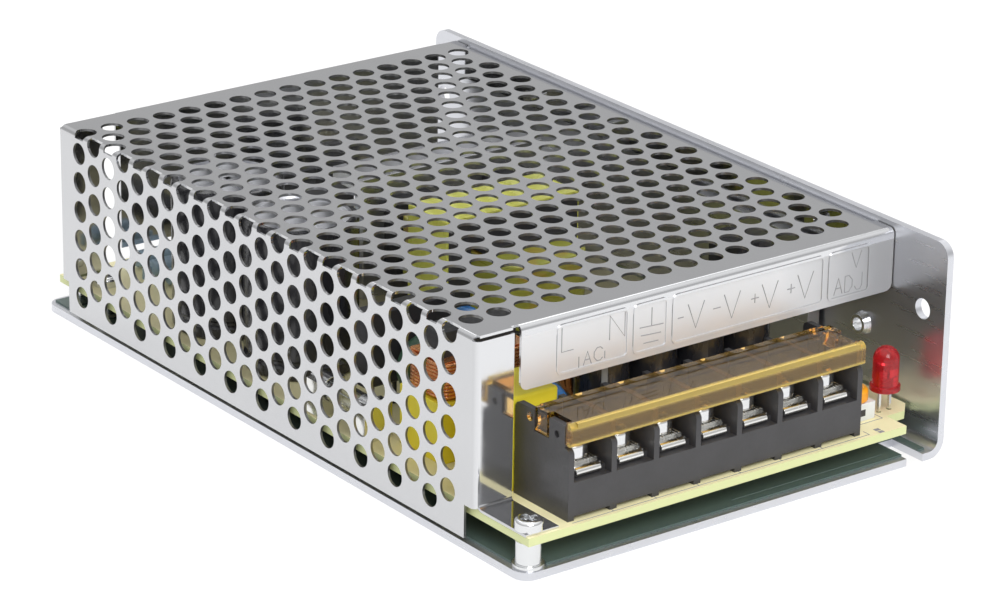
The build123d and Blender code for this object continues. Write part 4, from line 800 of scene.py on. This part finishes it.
class MakeTerminals(SupplyOperator):
    """Terminal plates, serrated clamp plates with spring washers, and screws"""

    bl_idname = "supply.terminals"
    bl_label = "Terminals"

    def execute(self, context):
        """One clamp of two pieces under each screw."""
        sizes = context.scene.supply_sizes
        rounded_node("terminal_plates", "tin", sizes.metal_edge)
        for number in range(1, BAYS + 1):
            body = f"screw_{number}"
            rounded_node(f"terminal_screw_{number}", "nickel", sizes.metal_edge, body)
            self.clamp(number, body)
        return {"FINISHED"}

    def clamp(self, number, body):
        """A square plate with ribs on its top, and a split spring washer on the ribs."""
        node = f"clamp_washer_{number}"
        low, high = (Vector(corner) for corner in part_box(node))
        # The plate's and the ribs' share of the clamp's height, and the spring's seat in the ribs.
        plate_share, rib_share, seat = 0.48, 0.62, 0.02 * MM
        height = high.z - low.z
        plate_top, rib_top = low.z + plate_share * height, low.z + rib_share * height
        work = bmesh.new()
        self.plate(work, low, high, plate_top)
        self.ribs(work, low, high, plate_top, rib_top)
        self.spring(work, (low + high) / 2, rib_top - seat, high.z)
        piece = new_piece(f"clamp_{number}", work, ["tin"], body, [node])
        round_edges(piece, 0.04 * MM, segments=1)

    def plate(self, work, low, high, top):
        """The square plate with the screw's hole."""
        middle = (low + high) / 2
        half, hole = (high.x - low.x) / 2, 1.75 * MM
        place = Matrix.Translation((middle.x, middle.y, low.z))
        place = place @ Matrix.Rotation(math.pi / 4, 4, "Z")
        edges = []
        for radius, segments in ((half * math.sqrt(2), 4), (hole, 24)):
            ring = bmesh.ops.create_circle(
                work, cap_ends=False, segments=segments, radius=radius, matrix=place
            )["verts"]
            edges += list({edge for vert in ring for edge in vert.link_edges})
        filled = bmesh.ops.triangle_fill(work, edges=edges, use_beauty=True, use_dissolve=False)
        faces = [item for item in filled["geom"] if isinstance(item, bmesh.types.BMFace)]
        raised = bmesh.ops.extrude_face_region(work, geom=faces)["geom"]
        bmesh.ops.translate(
            work, vec=(0, 0, top - low.z),
            verts=[item for item in raised if isinstance(item, bmesh.types.BMVert)],
        )
        bmesh.ops.recalc_face_normals(work, faces=work.faces[:])

    def ribs(self, work, low, high, plate_top, rib_top):
        """Ribs across the plate, cut short round the screw."""
        count, half_share, clear, sunk = 9, 0.26, 2.5 * MM, 0.05 * MM
        middle = (low + high) / 2
        for rib in range(count):
            x = low.x + (high.x - low.x) * (rib + 0.5) / count
            half = (high.x - low.x) / count * half_share
            reach = math.sqrt(max(0.0, clear ** 2 - (x - middle.x) ** 2))
            for start, end in ((low.y, middle.y - reach), (middle.y + reach, high.y)):
                add_block(work, (x - half, start, plate_top - sunk), (x + half, end, rib_top))

    def spring(self, work, middle, low, high):
        """A split spring washer that rises along its round."""
        inner, outer, thick_share = 1.8 * MM, 2.85 * MM, 0.72
        round_angle, steps = math.radians(344), 40
        thick = (high - low) * thick_share
        before = set(work.verts)
        corners = [
            work.verts.new((radius, 0, z))
            for radius, z in ((inner, 0), (outer, 0), (outer, thick), (inner, thick))
        ]
        section = work.faces.new(corners)
        bmesh.ops.spin(
            work, geom=[section], cent=(0, 0, 0), axis=(0, 0, 1), angle=round_angle, steps=steps,
            dvec=(0, 0, (high - low - thick) / steps),
        )
        made = [vert for vert in work.verts if vert not in before]
        bmesh.ops.translate(work, vec=(middle.x, middle.y, low), verts=made)
        faces = list({face for vert in made for face in vert.link_faces})
        bmesh.ops.recalc_face_normals(work, faces=faces)


class MakeLid(SupplyOperator):
    """The clear amber lid over the terminals"""

    bl_idname = "supply.lid"
    bl_label = "Lid"

    def execute(self, context):
        """The lid's own shape, its edges rounder than the block's."""
        rounder = 1.4
        edge = context.scene.supply_sizes.plastic_edge * rounder
        piece = rounded_node("terminal_cover", "amber", edge, "lid")
        piece.modifiers["rounded edges"].segments = 3
        return {"FINISHED"}


class MakeLamp(SupplyOperator):
    """The red indicator lamp with its leads and inner frame"""

    bl_idname = "supply.lamp"
    bl_label = "Lamp"

    def execute(self, context):
        """The lens is clear red, and the cup and post inside it show through."""
        sizes = context.scene.supply_sizes
        dress_node("led_leads", "tin")
        low, high = (Vector(corner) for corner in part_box("led_lens"))
        rounded_node("led_lens", "red_lens", sizes.metal_edge)
        middle = (low + high) / 2
        # Half width and half thickness of the flat legs, and their distance from the middle.
        half, flat, apart = 0.25 * MM, 0.2 * MM, 1.27 * MM
        foot, knee, cup_top = low.z + 0.2 * MM, low.z + 2.6 * MM, low.z + 5.2 * MM
        lap, under_cup, cup_tall, cup_aside = 0.2 * MM, 1.2 * MM, 1.3 * MM, 0.3 * MM
        work = bmesh.new()
        for side, width in ((-1, 1.5), (1, 0.9)):
            x = middle.x + side * apart
            add_block(work, (x - half, middle.y - flat, foot), (x + half, middle.y + flat, knee))
            reach = x - side * width * MM
            add_block(
                work, (min(x, reach) - half, middle.y - flat, knee - lap),
                (max(x, reach) + half, middle.y + flat, cup_top - under_cup),
            )
        profile = ((0, 0), (0.75, 0), (1.15, 1.3), (0.98, 1.3), (0.6, 0.5), (0, 0.5))
        cup = turned(work, [(radius * MM, height * MM) for radius, height in profile], steps=24)
        bmesh.ops.translate(
            work, vec=(middle.x - cup_aside, middle.y, cup_top - cup_tall), verts=cup
        )
        new_piece("led_frame", work, ["tin"])
        return {"FINISHED"}


class MakeTrimmer(SupplyOperator):
    """The output trimmer's body and turning rotor"""

    bl_idname = "supply.trimmer"
    bl_label = "Trimmer"

    def execute(self, context):
        """White body with a dark window in two of its sides, orange rotor."""
        sizes = context.scene.supply_sizes
        low, high = (Vector(corner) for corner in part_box("trimmer_body"))
        rounded_node("trimmer_body", "white_plastic", sizes.plastic_edge)
        rounded_node("trimmer_rotor", "orange_plastic", sizes.plastic_edge, "rotor")
        work = bmesh.new()
        # Half width of a window, how far it stands out and goes in, its sill and its top.
        half, out, deep = 0.7 * MM, 0.04 * MM, 0.3 * MM
        sill, top = low.z + 1.0 * MM, low.z + 2.3 * MM
        x, y = (low.x + high.x) / 2, (low.y + high.y) / 2
        add_block(work, (x - half, low.y - out, sill), (x + half, low.y + deep, top))
        add_block(work, (low.x - out, y - half, sill), (low.x + deep, y + half, top))
        new_piece("trimmer_window", work, ["mould_compound"])
        return {"FINISHED"}


class MakeTransformer(SupplyOperator):
    """The main transformer with its taped core and winding"""

    bl_idname = "supply.transformer"
    bl_label = "Transformer"

    def execute(self, context):
        """Core, tape and winding keep the CAD's shapes with softer edges."""
        sizes = context.scene.supply_sizes
        rounded_node("transformer_core", "ferrite", 2 * sizes.plastic_edge)
        rounded_node("transformer_tape", "yellow_tape", sizes.metal_edge)
        rounded_node("transformer_bobbin", "black_plastic", sizes.plastic_edge)
        rounded_node("transformer_winding", "winding", 4 * sizes.plastic_edge)
        rounded_node("driver_core", "ferrite", sizes.plastic_edge)
        rounded_node("driver_coil", "can_sleeve", 3 * sizes.plastic_edge)
        return {"FINISHED"}


class MakeLineFilter(SupplyOperator):
    """The line filter: core, base, copper turns and its yellow capacitor"""

    bl_idname = "supply.line_filter"
    bl_label = "Line filter"

    def execute(self, context):
        """Coils of real turns, each on a block of copper, replace the plain coil solids."""
        sizes = context.scene.supply_sizes
        rounded_node("choke_core", "ferrite", sizes.plastic_edge)
        rounded_node("choke_base", "yellow_plastic", sizes.plastic_edge)
        rounded_node("line_capacitor", "yellow_plastic", 2 * sizes.plastic_edge)
        work = bmesh.new()
        wire = sizes.filter_wire
        inset = Vector((0.91 * MM, 0.91 * MM, 0.0))
        for low, high in solids_of("choke_coils"):
            middle = (low + high) / 2
            tall = high.z - low.z
            turns = int((tall - wire) / wire)
            half_x, half_y = (high.x - low.x - wire) / 2, (high.y - low.y - wire) / 2
            made = wire_turns(
                work, (half_x + half_y) / 2, wire, turns, (tall - wire) / turns,
                squareness=0.55, half_sizes=(half_x, half_y),
            )
            bmesh.ops.translate(work, vec=(middle.x, middle.y, low.z + wire / 2), verts=made)
            add_block(work, low + inset, high - inset)
        new_piece("line_filter_turns", work, ["copper"], replaces=["choke_coils"])
        return {"FINISHED"}


class MakeOutputChoke(SupplyOperator):
    """The ring choke: dark core and heavy copper turns"""

    bl_idname = "supply.output_choke"
    bl_label = "Output choke"

    def execute(self, context):
        """Turns stand side by side round the ring and leave a gap."""
        sizes = context.scene.supply_sizes
        rounded_node("output_choke_core", "ferrite", 3 * sizes.plastic_edge)
        low, high = (Vector(corner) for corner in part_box("output_choke_core"))
        coil_low, coil_high = (Vector(corner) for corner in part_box("output_choke_coil"))
        middle = (low + high) / 2
        outer, bore = (high.x - low.x) / 2, 6.5 * MM
        wire, beside, within = sizes.choke_wire, 0.05 * MM, 0.02 * MM
        half_wide = (outer - bore) / 2 + wire / 2 + beside
        half_tall = (coil_high.z - coil_low.z) / 2 - wire / 2 - within
        work = bmesh.new()
        turns, gap, round_turn = 24, math.radians(70), 3 * MM
        for turn in range(turns):
            made = wire_turns(
                work, round_turn, wire, 1, 0, steps=20, sides=8, squareness=0.6,
                half_sizes=(half_wide, half_tall),
            )
            angle = gap / 2 + (2 * math.pi - gap) * (turn + 0.5) / turns
            place = (
                Matrix.Translation((middle.x, middle.y, (coil_low.z + coil_high.z) / 2))
                @ Matrix.Rotation(angle, 4, "Z")
                @ Matrix.Translation(((outer + bore) / 2, 0, 0))
                @ Matrix.Rotation(math.pi / 2, 4, "X")
            )
            bmesh.ops.transform(work, matrix=place, verts=made)
        new_piece("output_choke_turns", work, ["copper"], replaces=["output_choke_coil"])
        return {"FINISHED"}


# Which way each can's stripe faces, in degrees about Z from +X.
CAN_STRIPES = {"bulk_can_1": (65,), "bulk_can_2": (110,), "output_cans": (-122, 80, 35, 120)}


class MakeCans(SupplyOperator):
    """Electrolytic cans with rolled tops, crimped feet and pale stripes"""

    bl_idname = "supply.cans"
    bl_label = "Cans"

    def execute(self, context):
        """One piece for each can node, turned from its own box."""
        for node, name in (
            ("bulk_capacitor_1", "bulk_can_1"), ("bulk_capacitor_2", "bulk_can_2"),
            ("output_capacitors", "output_cans"),
        ):
            work = bmesh.new()
            for (low, high), stripe in zip(solids_of(node), CAN_STRIPES[name]):
                self.can(work, low, high, stripe)
            materials = ["can_sleeve", "can_stripe", "aluminium"]
            new_piece(name, work, materials, replaces=[node])
        return {"FINISHED"}

    def can(self, work, low, high, stripe):
        """A sleeve with its stripe at an angle in degrees, and a metal top with a vent cross."""
        radius = (high.x - low.x) / 2
        tall = high.z - low.z
        roll, crimp = 0.05 * radius, 0.12 * tall
        top, half_stripe, vent_depth, vent_rise = tall - 0.8 * roll, 9, 0.05 * MM, 0.06 * MM
        profile = [
            (0, 0), (radius - roll, 0), (radius, roll), (radius, crimp - 2 * roll),
            (radius - 1.1 * roll, crimp - roll), (radius - 1.1 * roll, crimp),
            (radius, crimp + roll), (radius, tall - 1.6 * roll),
            (radius - 0.5 * roll, tall - 0.5 * roll), (radius - 1.6 * roll, tall),
            (radius - 2.6 * roll, tall), (radius - 3.2 * roll, top), (0, top),
        ]

        def part(place):
            """Which of the can's materials a face has."""
            if place.z > tall - roll and math.hypot(place.x, place.y) < radius - 2.7 * roll:
                return 2
            away = (math.degrees(math.atan2(place.y, place.x)) - stripe + 180) % 360 - 180
            striped = abs(away) < half_stripe and roll * 2 < place.z < tall - roll
            return 1 if striped else 0

        made = turned(work, profile, steps=56, index_of=part)
        bar, arm = 0.06 * radius, 0.62 * radius
        for x, y in ((arm, bar), (bar, arm)):
            made += add_block(work, (-x, -y, top - vent_depth), (x, y, top + vent_rise), 2)
        foot = ((low.x + high.x) / 2, (low.y + high.y) / 2, low.z)
        bmesh.ops.translate(work, vec=foot, verts=made)


class MakeDiscs(SupplyOperator):
    """Coated disc parts: two capacitors and the thermistor"""

    bl_idname = "supply.discs"
    bl_label = "Discs"

    def execute(self, context):
        """A swollen disc on two leads for each box, except those of the leads themselves."""
        sizes = context.scene.supply_sizes
        smallest = 3 * MM
        for node, name, coat_name in (
            ("disc_capacitors", "disc_bodies", "blue_coat"),
            ("thermistor", "thermistor_body", "dark_coat"),
        ):
            work = bmesh.new()
            for low, high in solids_of(node):
                wide = max(high.x - low.x, high.y - low.y)
                if wide >= smallest:
                    self.disc(work, low, high, wide, sizes.lead)
            new_piece(name, work, [coat_name, "tin"], replaces=[node])
        return {"FINISHED"}

    def disc(self, work, low, high, wide, lead):
        """Body and leads between the box's corners."""
        swell, apart, overlap = 0.62, 2.5 * MM, 0.7
        middle = (low + high) / 2
        along_x = high.x - low.x > high.y - low.y
        thick = min(high.x - low.x, high.y - low.y)
        made = bmesh.ops.create_uvsphere(work, u_segments=40, v_segments=20, radius=1.0)["verts"]
        for vert in made:
            vert.co.z = math.copysign(abs(vert.co.z) ** swell, vert.co.z)
            flat = math.hypot(vert.co.x, vert.co.y)
            if flat > 1e-9:
                grown = flat ** swell / flat
                vert.co.x *= grown
                vert.co.y *= grown
        bmesh.ops.scale(work, vec=(wide / 2, wide / 2, thick / 2), verts=made)
        turn = Matrix.Rotation(math.pi / 2, 4, "X" if along_x else "Y")
        centre = Vector((middle.x, middle.y, high.z - wide / 2))
        bmesh.ops.transform(work, matrix=Matrix.Translation(centre) @ turn, verts=made)
        for side in (-apart, apart):
            shift = Vector((side, 0, 0)) if along_x else Vector((0, side, 0))
            foot = Vector((middle.x, middle.y, low.z)) + shift
            top = foot + Vector((0, 0, high.z - wide * overlap - low.z))
            add_rod(work, foot, top, lead, 10, 1)


class MakeFuse(SupplyOperator):
    """The glass fuse with its caps, clips and wire"""

    bl_idname = "supply.fuse"
    bl_label = "Fuse"

    def execute(self, context):
        """A thin wire runs through the tube."""
        sizes = context.scene.supply_sizes
        dress_node("fuse_tube", "glass")
        rounded_node("fuse_caps", "nickel", sizes.metal_edge)
        rounded_node("fuse_clips", "tin", sizes.metal_edge / 2)
        low, high = (Vector(corner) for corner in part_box("fuse_tube"))
        middle, short, wire = (low + high) / 2, 1 * MM, 0.25 * MM
        start, end = (middle.x, low.y + short, middle.z), (middle.x, high.y - short, middle.z)
        work = bmesh.new()
        add_rod(work, start, end, wire, 8)
        new_piece("fuse_wire", work, ["tin"])
        return {"FINISHED"}


class MakeHeatSinks(SupplyOperator):
    """Heat sinks with the parts that are clamped to them"""

    bl_idname = "supply.heat_sinks"
    bl_label = "Heat sinks"

    def execute(self, context):
        """Aluminium bars and moulded packages."""
        sizes = context.scene.supply_sizes
        for node in ("primary_heat_sink", "output_heat_sink"):
            rounded_node(node, "aluminium", 2 * sizes.metal_edge)
        for node in ("power_transistors", "output_rectifier", "bridge_rectifier"):
            rounded_node(node, "mould_compound", sizes.plastic_edge)
        return {"FINISHED"}


class MakeSmallParts(SupplyOperator):
    """The small parts of the board"""

    bl_idname = "supply.small_parts"
    bl_label = "Small parts"

    def execute(self, context):
        """Chips and film boxes with moulded edges, and resistors in their coat."""
        sizes = context.scene.supply_sizes
        for node in ("control_chip", "optocouplers"):
            rounded_node(node, "mould_compound", sizes.metal_edge)
        rounded_node("film_capacitors", "film_box", 2 * sizes.plastic_edge)
        dress_node("resistors", "resistor_coat")
        return {"FINISHED"}


# The photograph's camera: place in metres, turn in degrees, lens and sensor in millimetres.
CAMERA_PLACE = (-0.44995, -0.60049, 0.30894)
CAMERA_TURN = (68.6394, -0.8549, -36.8313)
CAMERA_LENS, CAMERA_SENSOR = 150.770, 36.0
# Name, place in metres, size in metres and power in watts of each lamp, and where they point.
LAMPS = (("key_lamp", (-0.6, -1.5, 1.3), 1.0, 22.0), ("back_lamp", (0.9, 1.2, 1.8), 1.2, 6.0))
LAMP_AIM = (0, 0, 0.02)
# Level of the sky's light at the horizon and overhead, and at heights between them.
SKY_LOW, SKY_HIGH = 0.95, 1.35
SKY_STEPS = ((0.10, 0.66), (0.26, 0.54), (0.42, 0.53), (0.62, 0.85))
# The floor's own grey and its glow, as the camera, metal and glass see it.
FLOOR_GREY, FLOOR_GLOW = 0.32, 0.70


def grey(level):
    """An opaque grey."""
    return (level, level, level, 1.0)


class MakeStage(SupplyOperator):
    """Camera, floor, world and soft lamps"""

    bl_idname = "supply.stage"
    bl_label = "Stage"

    def execute(self, context):
        """Sets up the studio round the supply."""
        self.camera()
        self.floor()
        self.world()
        for name, place, size, power in LAMPS:
            self.lamp(name, Vector(place), size, power)
        bpy.context.scene.view_settings.view_transform = "Standard"
        return {"FINISHED"}

    def camera(self):
        """The photograph's place and angle of view."""
        data = bpy.data.cameras.new("camera")
        data.lens = CAMERA_LENS
        data.sensor_width = CAMERA_SENSOR
        data.clip_start = 0.01
        camera = bpy.data.objects.new("camera", data)
        camera.location = CAMERA_PLACE
        camera.rotation_euler = tuple(math.radians(angle) for angle in CAMERA_TURN)
        bpy.context.scene.collection.objects.link(camera)
        bpy.context.scene.camera = camera

    def floor(self):
        """A floor that the camera, metal and glass see as white, with the object's shadow on it."""
        work = bmesh.new()
        bmesh.ops.create_grid(work, x_segments=1, y_segments=1, size=4.0)
        mesh = bpy.data.meshes.new("floor")
        work.to_mesh(mesh)
        work.free()
        floor = bpy.data.objects.new("floor", mesh)
        bpy.context.scene.collection.objects.link(floor)
        sheet = NodeSheet("floor")
        nodes = sheet.tree.nodes
        nodes.remove(sheet.shader)
        colour = tuple(bpy.context.scene.supply_finishes.floor)
        plain = sheet.add("ShaderNodeBsdfDiffuse", {"Color": (*colour, 1.0)})
        faint = sheet.add("ShaderNodeBsdfDiffuse", {"Color": grey(FLOOR_GREY)})
        glow = sheet.add("ShaderNodeEmission", {"Color": grey(FLOOR_GLOW), "Strength": 1.0})
        seen = sheet.add("ShaderNodeAddShader", {0: faint.outputs[0], 1: glow.outputs[0]})
        path = sheet.add("ShaderNodeLightPath").outputs
        looks = sheet.compute("MAXIMUM", path["Is Camera Ray"], path["Is Glossy Ray"])
        looks = sheet.compute("MAXIMUM", looks, path["Is Transmission Ray"])
        mix = sheet.add("ShaderNodeMixShader", {0: looks, 1: plain.outputs[0], 2: seen.outputs[0]})
        sheet.tree.links.new(mix.outputs[0], nodes["Material Output"].inputs["Surface"])
        mesh.materials.append(sheet.material)

    def world(self):
        """White at the horizon, greyer low in the sky and bright overhead."""
        world = bpy.data.worlds.new("studio")
        world.use_nodes = True
        tree = world.node_tree
        place = tree.nodes.new("ShaderNodeTexCoord")
        split = tree.nodes.new("ShaderNodeSeparateXYZ")
        ramp = tree.nodes.new("ShaderNodeValToRGB")
        tree.links.new(place.outputs["Generated"], split.inputs[0])
        tree.links.new(split.outputs["Z"], ramp.inputs["Fac"])
        tree.links.new(ramp.outputs["Color"], tree.nodes["Background"].inputs["Color"])
        stops = ramp.color_ramp.elements
        stops[0].position, stops[0].color = 0.0, grey(SKY_LOW)
        stops[1].position, stops[1].color = 1.0, grey(SKY_HIGH)
        for position, level in SKY_STEPS:
            stops.new(position).color = grey(level)
        tree.nodes["Background"].inputs["Strength"].default_value = 1.0
        bpy.context.scene.world = world

    def lamp(self, name, place, size, power):
        """A square soft lamp that points at the supply."""
        data = bpy.data.lights.new(name, "AREA")
        data.shape = "SQUARE"
        data.size = size
        data.energy = power
        lamp = bpy.data.objects.new(name, data)
        lamp.location = place
        lamp.rotation_euler = (Vector(LAMP_AIM) - place).to_track_quat("-Z", "Y").to_euler()
        bpy.context.scene.collection.objects.link(lamp)


OPERATORS = (
    MakeCase, MakeMarks, MakeBoard, MakeFilm, MakeFasteners, MakeTerminalBlock, MakeTerminals,
    MakeLid, MakeLamp, MakeTrimmer, MakeTransformer, MakeLineFilter, MakeOutputChoke, MakeCans,
    MakeDiscs, MakeFuse, MakeHeatSinks, MakeSmallParts, MakeStage,
)


class SupplyPanel(bpy.types.Panel):
    """Lists the supply's pieces, sizes and finishes."""

    bl_idname = "VIEW3D_PT_supply"
    bl_label = "Power supply"
    bl_space_type = "VIEW_3D"
    bl_region_type = "UI"
    bl_category = "Power Supply"

    def draw(self, context):
        """A button for each group, then the sizes and colours."""
        for kind in OPERATORS:
            self.layout.operator(kind.bl_idname)
        for group in (context.scene.supply_sizes, context.scene.supply_finishes):
            box = self.layout.box()
            for name in group.__annotations__:
                box.prop(group, name)


CLASSES = (SupplySizes, SupplyFinishes, *OPERATORS, SupplyPanel)


def register():
    """Registers the classes and the settings."""
    for kind in CLASSES:
        bpy.utils.register_class(kind)
    bpy.types.Scene.supply_sizes = bpy.props.PointerProperty(type=SupplySizes)
    bpy.types.Scene.supply_finishes = bpy.props.PointerProperty(type=SupplyFinishes)


def unregister():
    """Removes the settings and the classes."""
    del bpy.types.Scene.supply_finishes
    del bpy.types.Scene.supply_sizes
    for kind in reversed(CLASSES):
        bpy.utils.unregister_class(kind)


def main():
    """Makes every piece in order."""
    register()
    for kind in OPERATORS:
        group, name = kind.bl_idname.split(".")
        getattr(getattr(bpy.ops, group), name)()


if __name__ == "__main__":
    main()
